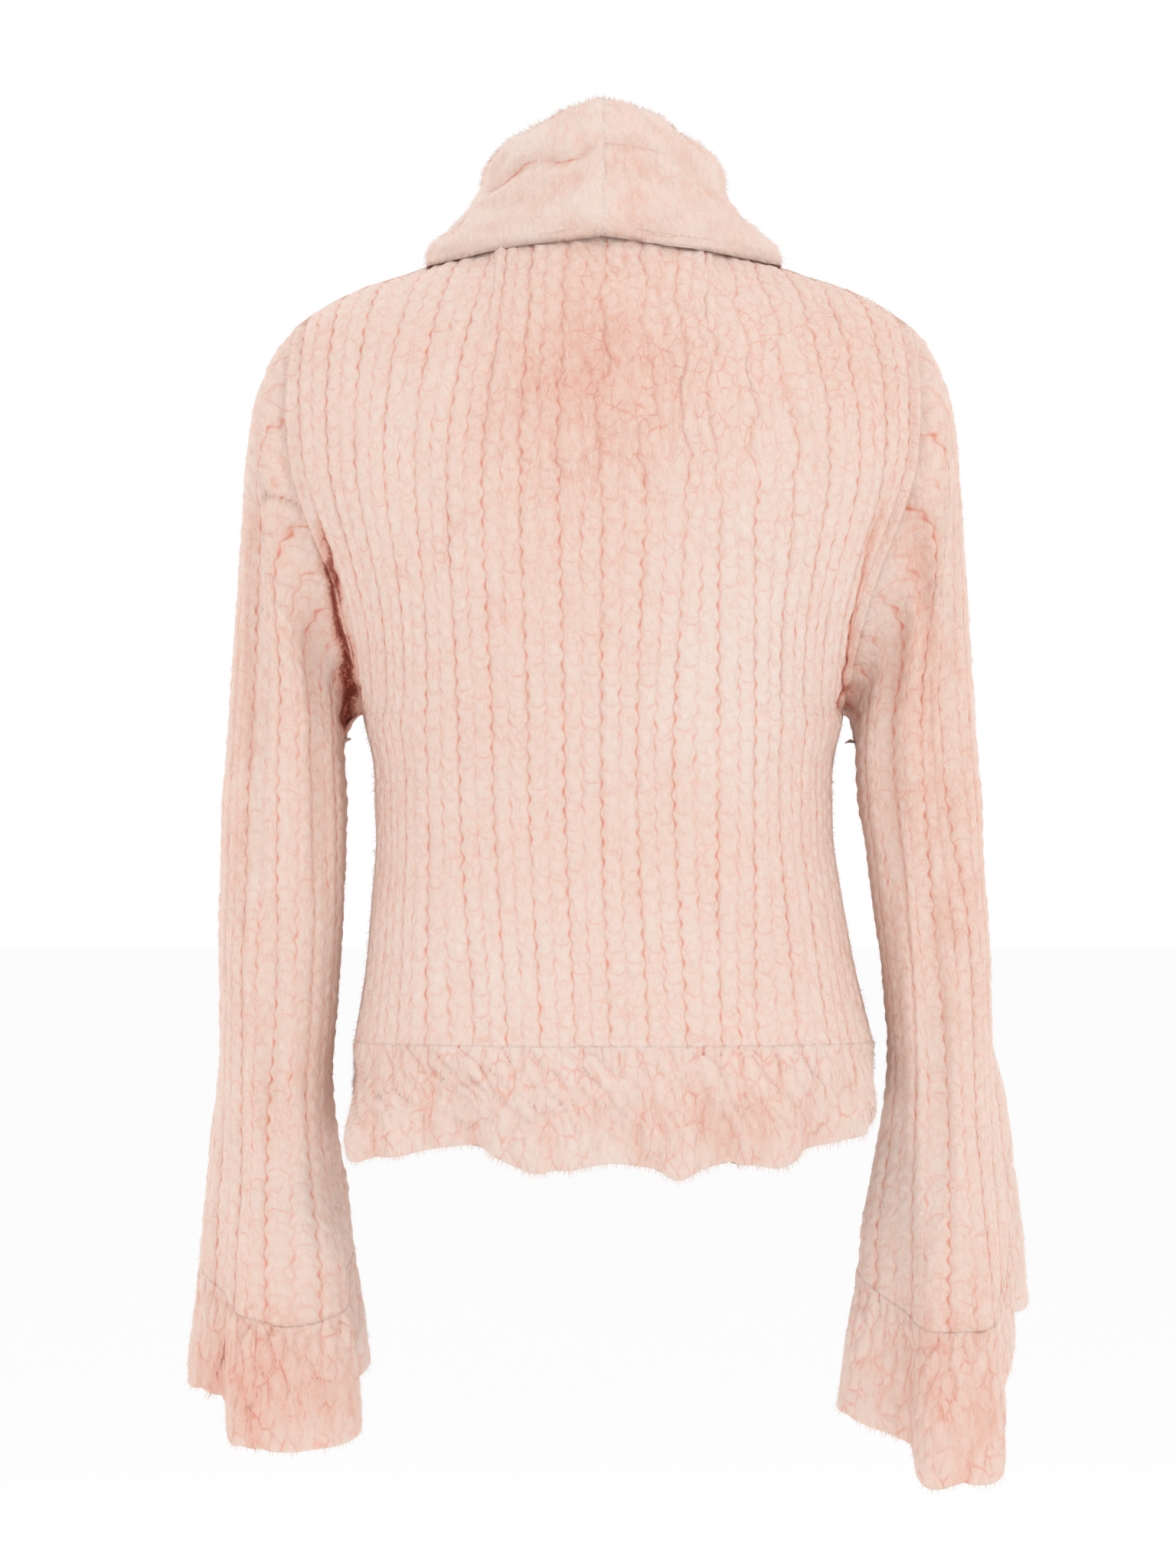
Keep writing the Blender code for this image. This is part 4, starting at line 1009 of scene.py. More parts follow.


# Creases placed on the side that faces back: each runs from one place to
# another across and up in millimetres, bowed at its middle, with its width, its depth
# and how salmon it is. The salmon is painted shade in the fold, and a colour above 1
# also paints the dark shadow of a deep gap, as under each arm
CREASE_COLUMNS = ("x0", "z0", "x1", "z1", "bow", "wide", "deep", "colour")
CREASE_ROWS = {
    "back": (
        # These two paint the dark shadow in the gap between the body and each sleeve
        (190.0, -150.0, 166.0, -284.0, -2.0, 4.0, 3.6, 2.0),
        (-190.0, -134.0, -167.0, -274.0, 3.0, 4.0, 3.6, 1.5),
    ),
    "collar_left": (
        (80.0, 76.0, 40.0, 95.0, -2.0, 4.0, 5.0, 1.0),
        (44.0, 93.0, 5.0, 99.5, 3.0, 4.0, 5.0, 1.0),
        (86.0, 66.0, 30.0, 78.0, 3.0, 7.0, 2.6, 0.25),
        (30.0, 78.0, 4.0, 84.0, -3.0, 7.0, 2.0, 0.2),
        (18.0, 122.0, 10.0, 108.0, 1.0, 3.0, 1.4, 0.3),
    ),
    "collar_right": (
        (5.0, 105.0, -47.0, 99.5, 2.0, 4.0, 3.0, 0.75),
        (-47.0, 99.5, -70.0, 86.0, 3.0, 5.0, 2.0, 0.2),
        (4.0, 86.0, -50.0, 80.0, -3.0, 7.0, 2.6, 0.25),
        (-50.0, 80.0, -78.0, 62.0, 3.0, 7.0, 2.6, 0.2),
    ),
    "sleeve_left": (
        (230.0, -131.0, 190.0, -148.0, -7.0, 2.6, 3.0, 0.95),
        # The next row paints the dark shadow in the gap between the sleeve and the body
        (190.0, -150.0, 166.0, -284.0, -2.0, 4.0, 3.6, 2.0),
        (234.0, -137.0, 236.0, -300.0, 3.0, 7.0, 4.2, 0.5),
        (236.0, -300.0, 244.0, -420.0, 2.0, 7.0, 3.0, 0.35),
        (212.0, -150.0, 196.0, -162.0, -4.0, 2.4, 1.6, 0.3),
    ),
    "sleeve_right": (
        (-178.0, -148.0, -206.0, -133.0, -6.0, 2.6, 3.0, 0.8),
        # The next row paints the dark shadow in the gap between the sleeve and the body
        (-190.0, -134.0, -167.0, -274.0, 3.0, 4.0, 3.6, 1.5),
        (-206.0, -135.0, -226.0, -300.0, -3.0, 7.0, 4.0, 0.45),
        (-226.0, -300.0, -236.0, -440.0, -2.0, 7.0, 3.0, 0.3),
    ),
    "hem_back": (
        (112.0, -512.0, 111.0, -566.0, 2.0, 4.0, 4.5, 0.9),
        (156.0, -505.0, 154.0, -558.0, 1.0, 3.5, 2.0, 0.5),
        (-28.0, -522.0, -22.0, -585.0, 2.0, 4.0, 3.4, 0.6),
        (0.0, -530.0, 2.0, -580.0, 1.0, 3.0, 2.2, 0.5),
        (-74.0, -520.0, -70.0, -575.0, 1.0, 4.0, 3.2, 0.55),
        (-146.0, -515.0, -142.0, -560.0, 1.0, 4.0, 3.0, 0.55),
        (60.0, -540.0, 58.0, -580.0, 1.0, 3.5, 2.6, 0.5),
    ),
    "cuff_left": (
        (257.0, -678.0, 266.0, -735.0, -2.0, 4.5, 5.0, 0.5),
        (222.0, -690.0, 180.0, -676.0, -3.0, 4.0, 2.2, 0.5),
        (238.0, -682.0, 262.0, -668.0, 2.0, 4.0, 2.0, 0.4),
    ),
    "cuff_right": (
        (-262.0, -650.0, -256.0, -700.0, 2.0, 4.5, 4.0, 0.5),
        (-190.0, -700.0, -235.0, -692.0, 3.0, 4.0, 2.2, 0.5),
    ),
}


def creases(name, points, normals):
    """How deep and how salmon a piece is along its creases, the salmon being painted shade, and where
    it has the painted shadow of a deep gap.
    """
    depth, line = np.zeros(points.shape[:2]), np.full(points.shape[:2], FAR_LINE)
    painted_shadow = np.zeros(points.shape[:2])
    x, z = points[..., 0], points[..., 2]
    shown = soft_step(0.5 + 2.0 * normals[..., 1])
    wander = 1.6 * noise(x / 9.0 + 30.0, z / 9.0 + 40.0, 77)
    for row in CREASE_ROWS.get(name, ()):
        crease = dict(zip(CREASE_COLUMNS, row))
        start = np.array([crease["x0"], crease["z0"]])
        end = np.array([crease["x1"], crease["z1"]])
        run = end - start
        aside = np.array([-run[1], run[0]]) / np.hypot(*run)
        nearest = np.full(points.shape[:2], 1e9)
        shares = np.linspace(0.0, 1.0, CREASE_PARTS + 1)
        bowed = crease["bow"] * 4.0 * shares * (1.0 - shares)
        way = start + run * shares[:, None] + aside * bowed[:, None]
        for number in range(CREASE_PARTS):
            step = way[number + 1] - way[number]
            from_x, from_z = x + wander - way[number][0], z + wander - way[number][1]
            part = np.clip((from_x * step[0] + from_z * step[1]) / np.dot(step, step), 0.0, 1.0)
            apart = np.hypot(from_x - part * step[0], from_z - part * step[1])
            t = (number + part) / CREASE_PARTS
            thin = (1.0 - t) ** 2 if crease["colour"] > 1.0 else np.abs(2.0 * t - 1.0) ** 4
            nearest = np.minimum(nearest, apart + 3.0 * thin)
        soft = np.exp(-((nearest / crease["wide"]) ** 2)) * shown
        faint = FAINT_LINE * (1.0 - crease["colour"]) + FAR_LINE * (1.0 - shown)
        depth = np.maximum(depth, crease["deep"] * soft)
        # A colour above 1 paints a dark shadow along the crease
        painted_shadow = np.maximum(painted_shadow, max(crease["colour"] - 1.0, 0.0) * soft)
        line = np.minimum(line, nearest + faint)
    return depth, line, painted_shadow


def tone_over(points):
    """The large soft differences of tone over the whole jacket, some of them painted shade."""
    x, y, z = np.moveaxis(points, -1, 0)
    tone = TONE + 0.07 * noise(x / 70.0 + 9.0, z / 90.0 + 9.0, 5)
    tone += 0.05 * noise(x / 24.0 + 9.0, z / 30.0 + 40.0, 6)
    for row in TONE_ROWS:
        patch_of = dict(zip(TONE_COLUMNS, row))
        from_middle = ((x - patch_of["across"]) / patch_of["wide"]) ** 2
        from_middle += ((z - patch_of["height"]) / patch_of["tall"]) ** 2
        facing = soft_step(0.5 + 0.5 * patch_of["side"] * y / 25.0)
        tone += patch_of["amount"] * np.exp(-from_middle) * facing
    return tone


def rims_of(name):
    return RIMS[name.replace("_left", "").replace("_right", "")]


def seam_fade(grid, sides):
    """0 along the borders that are sewn to a neighbour and 1 away from them."""
    down, across = lengths(grid, 0), lengths(grid, 1)
    fade = np.ones(grid.shape[:2])
    distances = (down, down[-1:] - down, across, across[:, -1:] - across)
    for distance, radius in zip(distances, sides):
        if radius == SEAM_ROUND:
            fade = fade * (1.0 - np.exp(-((distance / SEAM_FADE) ** 2)))
    return fade


def surface_of(name, envelope, wall, closed, relief, reach, flow_sign):
    """A shell's fine outside below its envelope, with all that its fur needs to know.
    relief has the stitches' dips and lines, and wall the wall's inside."""
    normals = oriented(envelope, wall, closed)
    thick = np.linalg.norm(envelope - wall, axis=-1)
    crease, crease_line, painted_shadow = creases(name, envelope, normals)
    rims = rims_of(name)
    fade = seam_fade(envelope, rims)
    ends = 1.0 - seam_fade(envelope, (*rims[:2], 0.0, 0.0))
    thicker = 1.0 + SEAM_HAIR * ends
    seam_line = SEAM_LINE + FAR_LINE * (1.0 - ends)
    deep = reach + relief["depth"] * fade + crease
    deep = np.minimum(deep, thick - THINNEST_WALL)
    points = envelope - normals * deep[..., None]
    flow = flow_sign * unit(np.gradient(envelope, axis=0))
    if not closed:
        aside, beside = unit(np.gradient(envelope, axis=1)), lengths(envelope, 1)
        flow = flow - aside * 1.3 * np.exp(-beside / 6.0)[..., None]
        flow = flow + aside * 1.3 * np.exp(-(beside[:, -1:] - beside) / 6.0)[..., None]
    if name.startswith("sleeve"):
        flow = unit(flow) * (1.0 - 2.0 * np.exp(-lengths(envelope, 0) / 7.0))[..., None]
    # Tone drops in the creases, which is painted shade, and falls to the darkest colour along the
    # painted shadow of deep gaps
    tone = tone_over(envelope) + relief["tone"] - 0.03 * crease - 0.8 * painted_shadow
    line = np.minimum(np.minimum(relief["line"], crease_line), seam_line)
    return {
        "points": points,
        "normals": oriented(points, wall, closed),
        "flow": flow,
        "closed": closed,
        "tone": np.clip(tone, 0.0, 1.0),
        "stitch": relief["stitch"],
        "line": np.clip(line, 0.0, FAR_LINE),
        "cover": relief["cover"] * thicker * np.maximum(1.0 - 2.0 * painted_shadow, 0.0),
        "long": relief["long"],
        "loose": relief["loose"],
    }


def knit_relief(across, along, seed, around=64):
    """How knitted fur rises and sinks, in millimetres, and how its tone varies. across
    and along count the stitches, which lie in columns with scalloped borders."""
    bent = across + SCALLOP * np.cos(2.0 * math.pi * along) * np.cos(math.pi * across)
    border, column = np.round(bent), np.floor(bent)
    strength = 0.75 + 0.25 * np.cos(math.pi * border)
    beside = np.abs(bent - border) * STITCH_WIDTH
    arch = STITCH_ARCH * (bent - column - 0.5) ** 2
    row = along + 0.25 - 0.25 * np.cos(math.pi * column) - arch
    level = np.abs(row - np.round(row)) * STITCH_HEIGHT
    between = strength * np.exp(-((beside / 2.8) ** 1.5))
    dip = np.maximum(between, 0.5 * np.exp(-((level / 3.0) ** 1.5)))
    height = noise(column + 32.0, np.floor(row + 0.5) + 20.0, seed, around) * (1.0 - dip)
    uneven = noise(across / 2.0 + 20.0, along * 0.7 + 20.0, seed + 8, max(around // 2, 1))
    soft = 0.9 + 0.35 * uneven
    return {
        "depth": 2.2 * dip * soft - 0.6 * height,
        "line": FAR_LINE + 0.0 * dip,
        # The tone follows the relief, darker in the dips and lighter on raised stitches: painted shade
        "tone": 0.05 * height - 0.12 * dip,
        "cover": 1.0 - 0.7 * between,
        "long": 1.0 - 0.35 * dip,
        "stitch": np.stack([across, along], -1),
        "loose": 0.0 * dip,
    }


def knitted_panel(name, side, signs, panel, seed):
    """The fine outside and inside of a knitted body panel."""
    _, inner, smooth = panel
    envelope, wall = fine_pair("body", smooth, inner, False)
    across = lengths(envelope, 1)
    if len(signs) == 2:
        across = across - across[:, envelope.shape[1] // 2][:, None]
    half = np.abs(across).max(axis=1, keepdims=True)
    share = np.abs(across) / half
    to_edge = WALES_TO_SIDE / half - 1.0
    wale = across * (1.0 + to_edge * soft_step((share - 0.45) / 0.55))
    up = lengths(envelope, 0)
    x, z = envelope[..., 0], envelope[..., 2]
    jumble = 0.0 * x
    if side > 0:
        jumble = np.exp(-(((x + 60.0) / 95.0) ** 2) - ((z + 50.0) / 80.0) ** 2)
    place = wale / STITCH_WIDTH
    place = place + 0.5 * noise(wale / 46.0 + 30.0, up / 190.0, seed + 1)
    place = place + jumble * 0.7 * noise(x / 15.0 + 30.0, z / 15.0 + 40.0, seed + 2)
    row = up / STITCH_HEIGHT + 0.25 * noise(wale / 60.0 + 30.0, up / 60.0, seed + 3)
    row = row + jumble * 0.7 * noise(x / 16.0 + 30.0, z / 14.0 + 40.0, seed + 4)
    relief = knit_relief(place + 32.0, row, seed)
    relief["loose"] = jumble
    to_side = np.abs(half - np.abs(across))
    relief["depth"] = relief["depth"] + 3.0 * (1.0 - soft_step(to_side / 14.0))
    return surface_of(name, envelope, wall, False, relief, KNIT_REACH, -1.0), wall


def knitted_sleeve(name, arm, seed):
    """The fine outside and inside of a knitted sleeve."""
    _, inner, smooth, _ = arm
    envelope, wall = fine_pair("sleeve", smooth, inner, True)
    columns = envelope.shape[1]
    round_it = np.arange(columns)[None, :] / columns * SLEEVE_STITCHES
    down = lengths(envelope, 0)
    level = len(down) // 2
    down = down - down[level] - envelope[level, :, 2]
    ripple = 0.35 * noise(round_it / 2.0 + 0.0 * down, down / 150.0, seed + 1, 12)
    row = down / STITCH_HEIGHT + 0.3 * noise(round_it / 3.0 + 0.0 * down, down / 60.0, seed + 3, 8)
    relief = knit_relief(round_it + ripple, row, seed, SLEEVE_STITCHES)
    return surface_of(name, envelope, wall, True, relief, KNIT_REACH, 1.0), wall


def lobes(across, along, seed, around):
    """The valleys between a band's lobes, and the distance to their folds."""
    lobe = (LOBE_WIDTH, 4.0 * LOBE_WIDTH)
    place = (across / lobe[0], along / lobe[1])
    valley, fold, _ = stitches(*place, lobe, seed, around, 0.9, (0.0, 0.0))
    return valley, fold


def band_relief(across, along, down_share, seed, around):
    """Long plush in soft lobes: deep near its seam, and smooth towards its edge."""
    place = (across / PLUSH_STITCH[0], along / PLUSH_STITCH[1])
    dip, line, height = stitches(*place, PLUSH_STITCH, seed, around, 0.8, (0.6, 0.3))
    rounds = int(round(around * PLUSH_STITCH[0] / LOBE_WIDTH))
    valley, fold = lobes(across, along, seed + 9, rounds)
    run_out = 1.0 - 0.7 * soft_step((down_share - 0.4) / 0.5)
    run_in = soft_step((down_share - 0.1) / 0.6)
    line = np.minimum(line + 1.6 * (1.0 - run_out), fold + 0.4 + 1.5 * (1.0 - run_in))
    broken = noise(across / 7.0 + 9.0, along / 9.0 + 9.0, seed + 7)
    line = line + np.maximum(0.15 + 0.7 * broken, 0.0)
    groove = np.exp(-((line / 1.4) ** 2))
    return {
        "depth": 1.9 * dip * run_out + 0.6 * groove - 0.7 * height + LOBE_DEPTH * valley * run_in,
        "line": line,
        # The tone follows the relief, darker in the dips and in the valleys between lobes, which is
        # painted shade; it also rises towards the edge
        "tone": (0.05 * height - 0.10 * dip) * run_out + 0.07 * down_share - 0.20 * valley * run_in,
        "cover": 1.0 - 0.5 * groove,
        "long": 0.6 + 0.4 * soft_step(down_share / 0.4) - 0.15 * dip,
        "stitch": np.stack(place, -1),
        "loose": 0.0 * dip,
    }


def plush_band(name, outer, inner, kind, closed, seed):
    """The fine outside and inside of a hem or a cuff. Its cloth ends short of the
    solid's edge, which its fur reaches."""
    envelope, wall = fine_pair(kind, outer, inner, closed)
    rows, columns = envelope.shape[:2]
    across, down = lengths(envelope, 1), lengths(envelope, 0)
    around = 64
    if closed:
        around = int(round(across[-1, -1] / PLUSH_STITCH[0] / 12.0)) * 12
        across = np.arange(columns)[None, :] / columns * around * PLUSH_STITCH[0] + 0.0 * down
    rounds = int(round(around * PLUSH_STITCH[0] / LOBE_WIDTH))
    notch, _ = lobes(across[-1:], down[-1:], seed + 9, rounds)
    kept = np.linspace(0.0, rows - 1.0, rows)[:, None] * (BAND_LENGTH_KEPT - LOBE_NOTCH * notch)
    low = np.minimum(kept.astype(int), rows - 2)
    part = (kept - low)[:, :, None]
    column = np.arange(columns)[None, :]
    envelope = envelope[low, column] * (1.0 - part) + envelope[low + 1, column] * part
    wall = wall[low, column] * (1.0 - part) + wall[low + 1, column] * part
    down = lengths(envelope, 0)
    share = down / down[-1:]
    wander = noise(across / PLUSH_STITCH[0] / 2.0, down / 30.0, seed + 1, around // 2)
    sway = 0.3 * PLUSH_STITCH[0] * wander
    relief = band_relief(across + sway, down, share, seed, around)
    wall = wall + 1.5 * oriented(envelope, wall, closed)
    reach = KNIT_REACH + (PLUSH_REACH - KNIT_REACH) * soft_step(down / 25.0)
    return surface_of(name, envelope, wall, closed, relief, reach, 1.0), wall


def eased(grid, passes):
    """A grid with each point drawn to its two neighbours in its row, many times."""
    for _ in range(passes):
        padded = np.pad(grid, ((0, 0), (1, 1), (0, 0)), mode="edge")
        grid = (padded[:, :-2] + grid + padded[:, 2:]) / 3.0
    return grid


def plush_collar(name, halves, seed):
    """The fine outside and inside of one half of the collar."""
    envelope, wall = fine_pair("collar", *halves, False)
    across, down = lengths(envelope, 1), lengths(envelope, 0)
    share = down / down[-1:]
    settled = COLLAR_SETTLED * soft_step((share - 0.74) / 0.26)[..., None]
    lower = soft_step((share - 0.6) / 0.25) * soft_step((across - 1.0) / 25.0)
    behind = 1.0 - soft_step((across - COLLAR_FRONT) / 55.0)
    lower = (lower * behind)[..., None]
    plain = oriented(envelope, wall, False)
    normals = unit(plain + lower * (eased(plain, NORMALS_EASED) - plain))
    envelope = envelope + lower * (eased(envelope, COLLAR_EASED) - envelope)
    wall = wall + lower * (eased(wall, COLLAR_EASED) - wall)
    puff = np.sin(math.pi * np.clip(share / 0.34, 0.0, 1.0))
    puff = behind * (puff + np.sin(math.pi * np.clip((share - 0.56) / 0.4, 0.0, 1.0)))
    wall = wall - settled * normals
    envelope = envelope + (COLLAR_PUFF * puff)[..., None] * normals
    near = np.clip((down[-1:] - down) / COLLAR_EDGE, 0.0, 1.0)
    rounded = np.sqrt(1.0 - (1.0 - near) ** 2)[..., None]
    envelope = wall + (envelope - wall) * (0.3 + 0.7 * rounded)
    lumps = noise(across / 21.0 + 9.0, down / 17.0 + 9.0, seed)
    lumps = lumps + 0.5 * noise(across / 9.0 + 9.0, down / 8.0 + 9.0, seed + 1)
    relief = {
        "depth": 1.9 * lumps,
        "line": FAR_LINE + 0.0 * share,
        # Tone drops where the lumps lie deeper: painted shade
        "tone": -0.13 * lumps - 0.02,
        "cover": 1.0 + 0.0 * share,
        "long": 1.0 + 0.25 * soft_step((share - 0.8) / 0.2),
        "stitch": np.stack([across, down], -1) / STITCH_WIDTH,
        "loose": 0.0 * share,
    }
    return surface_of(name, envelope, wall, False, relief, COLLAR_REACH, 1.0), wall


def picked(grid, place, closed):
    """Values of a grid at places between its points."""
    row, column, down, right = place
    wide = grid.shape[1]
    beside = (column + 1) % wide if closed else column + 1
    if grid.ndim == 3:
        down, right = down[:, None], right[:, None]
    top = grid[row, column] * (1.0 - right) + grid[row, beside] * right
    low = grid[row + 1, column] * (1.0 - right) + grid[row + 1, beside] * right
    return top * (1.0 - down) + low * down


def fur(name, surface, count, hair, seed):
    """Blades of fur over a shell, joined in one mesh. hair gives their length and
    width, how far they lean with the flow, how much they stray and how they clump."""
    rng = np.random.default_rng(seed)
    points, closed = surface["points"], surface["closed"]
    wide = np.concatenate([points, points[:, :1]], axis=1) if closed else points
    cover = surface["cover"]
    cover = np.concatenate([cover, cover[:, :1]], axis=1) if closed else cover
    across = wide[1:, 1:] - wide[:-1, :-1]
    athwart = wide[1:, :-1] - wide[:-1, 1:]
    area = 0.5 * np.linalg.norm(np.cross(across, athwart), axis=-1) * cover[:-1, :-1]
    total = np.cumsum(area.reshape(-1))
    chosen = np.searchsorted(total, rng.uniform(0.0, total[-1], count))
    row, column = np.divmod(np.minimum(chosen, total.size - 1), area.shape[1])
    place = (row, column, rng.uniform(0.0, 1.0, count), rng.uniform(0.0, 1.0, count))
    point = picked(points, place, closed)
    normal = unit(picked(surface["normals"], place, closed))
    flow = unit(picked(surface["flow"], place, closed))
    beside = unit(np.cross(flow, normal))
    flow = np.cross(normal, beside)
    line = np.exp(-((picked(surface["line"], place, closed) / LINE_WIDTH) ** 2))
    tuft = hair["tuft"]
    x, z = point[:, 0] / tuft, point[:, 2] / tuft
    tufts = [noise(x + k, z + k, seed + k) for k in (1, 2)]
    stray = hair["stray"] * (1.0 - 0.5 * line)
    swing = stray * rng.normal(0.0, 1.0, count) + hair["clump"] * tufts[0]
    lean = np.radians(hair["lean"]) + 0.5 * stray * rng.normal(0.0, 1.0, count)
    lean = np.clip(lean + 0.4 * hair["clump"] * tufts[1], 0.6, 1.4)[:, None]
    ahead = unit(flow * np.cos(swing)[:, None] + beside * np.sin(swing)[:, None])
    heading = normal * np.cos(lean) + ahead * np.sin(lean)
    size = hair["length"] * picked(surface["long"], place, closed)
    size = size * np.clip(rng.normal(1.0, 0.18, count), 0.5, 1.5)
    twist = rng.uniform(-0.2, 0.2, count)[:, None]
    face = unit(np.cross(heading, normal))
    face = face * np.cos(twist) + np.cross(heading, face) * np.sin(twist)
    half = 0.5 * hair["width"] * rng.uniform(0.7, 1.2, count)[:, None] * face
    root = point - normal * ROOT_DEPTH
    # The hair takes the skin's tone, with the painted shade and shadow in it
    tone = picked(surface["tone"], place, closed) + rng.normal(0.0, 0.05, count)
    tone = np.clip(tone + 0.06 * tufts[0], 0.0, 0.999)
    tip = root + heading * size[:, None]
    corners = np.stack([root - half, root + half, tip], 1)
    along = np.array([0.0, 0.0, 1.0])
    edge = np.array([-1.0, 1.0, 0.0])
    each = len(edge)
    mesh = bpy.data.meshes.new(name)
    mesh.vertices.add(count * each)
    mesh.vertices.foreach_set("co", (corners * MM).reshape(-1))
    mesh.loops.add(count * each)
    mesh.loops.foreach_set("vertex_index", np.arange(count * each))
    mesh.polygons.add(count)
    mesh.polygons.foreach_set("loop_start", np.arange(count) * each)
    mesh.polygons.foreach_set("use_smooth", np.ones(count, dtype=bool))
    mesh.update(calc_edges=True)
    column = (np.floor(tone * BLADE_COLUMNS) + 0.5) / BLADE_COLUMNS
    u = column[:, None] + 0.42 / BLADE_COLUMNS * edge[None]
    v = BLADE_MAP_HEIGHT * along[None] + 0.0 * u
    layer = mesh.uv_layers.new(name="OFBake")
    layer.data.foreach_set("uv", np.stack([u, v], -1).reshape(-1))
    soft = unit(normal + 0.10 * rng.normal(0.0, 1.0, (count, 3)) + 0.1 * heading)
    mesh.normals_split_custom_set_from_vertices(np.repeat(soft, each, axis=0).tolist())
    return placed(name, mesh)


def feed(tree, socket, value):
    """Links a value to a shader's socket, or sets it there."""
    if isinstance(value, bpy.types.NodeSocket):
        tree.links.new(value, socket)
    else:
        socket.default_value = value


def node(tree, kind, **inputs):
    """A shader node with its inputs, by name, set or linked."""
    made = tree.nodes.new(kind)
    for name, value in inputs.items():
        feed(tree, made.inputs[name], value)
    return made


def attribute(tree, name):
    """A number that the mesh has at each point."""
    made = node(tree, "ShaderNodeAttribute")
    made.attribute_name = name
    return made.outputs["Fac"]


def blend(tree, factor, first, second):
    """A colour between two others."""
    made = node(tree, "ShaderNodeMix")
    made.data_type = "RGBA"
    tree.links.new(factor, made.inputs["Factor"])
    tree.links.new(first, made.inputs[6])
    tree.links.new(second, made.inputs[7])
    return made.outputs[2]


def ramp(tree, value, stops):
    """Colours that a value runs through."""
    made = tree.nodes.new("ShaderNodeValToRGB")
    while len(made.color_ramp.elements) < len(stops):
        made.color_ramp.elements.new(0.5)
    for element, (position, colour) in zip(made.color_ramp.elements, stops):
        element.position = position
        element.color = (*colour, 1.0)
    tree.links.new(value, made.inputs["Fac"])
    return made.outputs["Color"]


def fur_shader(name, sheen):
    material = bpy.data.materials.new(name)
    material.use_nodes = True
    shader = material.node_tree.nodes["Principled BSDF"]
    shader.inputs["Roughness"].default_value = 0.92
    shader.inputs["Specular IOR Level"].default_value = 0.18
    shader.inputs["Sheen Weight"].default_value = sheen
    shader.inputs["Sheen Roughness"].default_value = 0.6
    shader.inputs["Sheen Tint"].default_value = (1.0, 0.86, 0.80, 1.0)
    return material, material.node_tree, shader


# Colours by tone, in the grooves, on the skin and at each hair's root and tip. The darkest
# colour is the painted shadow of deep gaps, and the grooves' deeper salmon is partly the
# salmon base that shows there and partly painted shade
PAINTED_SHADOW_COLOUR = (0.17, 0.026, 0.014)
DEEP = (
    (0.0, PAINTED_SHADOW_COLOUR),
    (0.16, (0.60, 0.19, 0.125)),
    (0.55, (0.74, 0.29, 0.205)),
    (1.0, (0.78, 0.38, 0.29)),
)
SKIN = (
    (0.0, (0.40, 0.14, 0.10)),
    (0.12, (0.71, 0.40, 0.315)),
    (0.5, (0.75, 0.575, 0.495)),
    (1.0, (0.77, 0.68, 0.63)),
)
ROOT = ((0.0, (0.68, 0.38, 0.30)), (0.5, (0.74, 0.55, 0.47)), (1.0, (0.76, 0.66, 0.61)))
TIP = ((0.0, (0.75, 0.50, 0.42)), (0.5, (0.79, 0.64, 0.575)), (1.0, (0.81, 0.73, 0.69)))
LOOSE_PARTINGS = 0.38
LOOSE_COLUMNS = 0.7
BUMP_HEIGHT = 0.0028
GLOW = 0.2


def worked(tree, operation, *values):
    """A sum or other step between values."""
    made = tree.nodes.new("ShaderNodeMath")
    made.operation = operation
    for socket, value in zip(made.inputs, values):
        feed(tree, socket, value)
    return made.outputs["Value"]


def tufts_in(tree, place, size, tall, wander):
    """How near a place is to the parting between tufts of hair, from 0 to 1, and how
    plump its tuft is there."""
    bent = node(tree, "ShaderNodeTexNoise", Vector=place, Scale=0.45 / size)
    bent.inputs["Detail"].default_value = 2.0
    moved = tree.nodes.new("ShaderNodeVectorMath")
    moved.operation = "MULTIPLY_ADD"
    tree.links.new(bent.outputs["Color"], moved.inputs[0])
    moved.inputs[1].default_value = (wander, wander, wander)
    tree.links.new(place, moved.inputs[2])
    flat = node(tree, "ShaderNodeMapping", Vector=moved.outputs["Vector"], Scale=(1.0, 1.0, 1.0 / tall))
    cells = node(tree, "ShaderNodeTexVoronoi", Vector=flat.outputs["Vector"], Scale=1.0 / size)
    cells.feature = "DISTANCE_TO_EDGE"
    edge = cells.outputs["Distance"]
    broken = node(tree, "ShaderNodeTexNoise", Vector=place, Scale=0.8 / size)
    parting = worked(tree, "SUBTRACT", 1.0, worked(tree, "DIVIDE", edge, 0.1))
    parting = worked(tree, "MAXIMUM", parting, 0.0)
    strength = worked(tree, "MULTIPLY_ADD", broken.outputs["Fac"], 4.0, -1.55)
    strength = worked(tree, "MAXIMUM", worked(tree, "MINIMUM", strength, 1.0), 0.0)
    plump = worked(tree, "MINIMUM", edge, 0.3)
    return worked(tree, "MULTIPLY", parting, strength), plump


def fallen(tree, distance, width):
    """1 at no distance, falling off like a bell over a width."""
    share = worked(tree, "DIVIDE", distance, width)
    return worked(tree, "POWER", 0.3679, worked(tree, "MULTIPLY", share, share))


def limited(tree, value):
    return worked(tree, "MAXIMUM", worked(tree, "MINIMUM", value, 1.0), 0.0)


def map_parts(tree, name):
    """The two numbers of a mesh's flat map."""
    own = node(tree, "ShaderNodeUVMap")
    own.uv_map = name
    parts = node(tree, "ShaderNodeSeparateXYZ", Vector=own.outputs["UV"])
    return parts.outputs["X"], parts.outputs["Y"]


def spotted(tree, x, y):
    """Soft spots over a plane, from 0 to 1."""
    spot = node(tree, "ShaderNodeCombineXYZ", X=x, Y=y)
    vector = spot.outputs["Vector"]
    return node(tree, "ShaderNodeTexNoise", Vector=vector, Scale=1.0).outputs["Fac"]


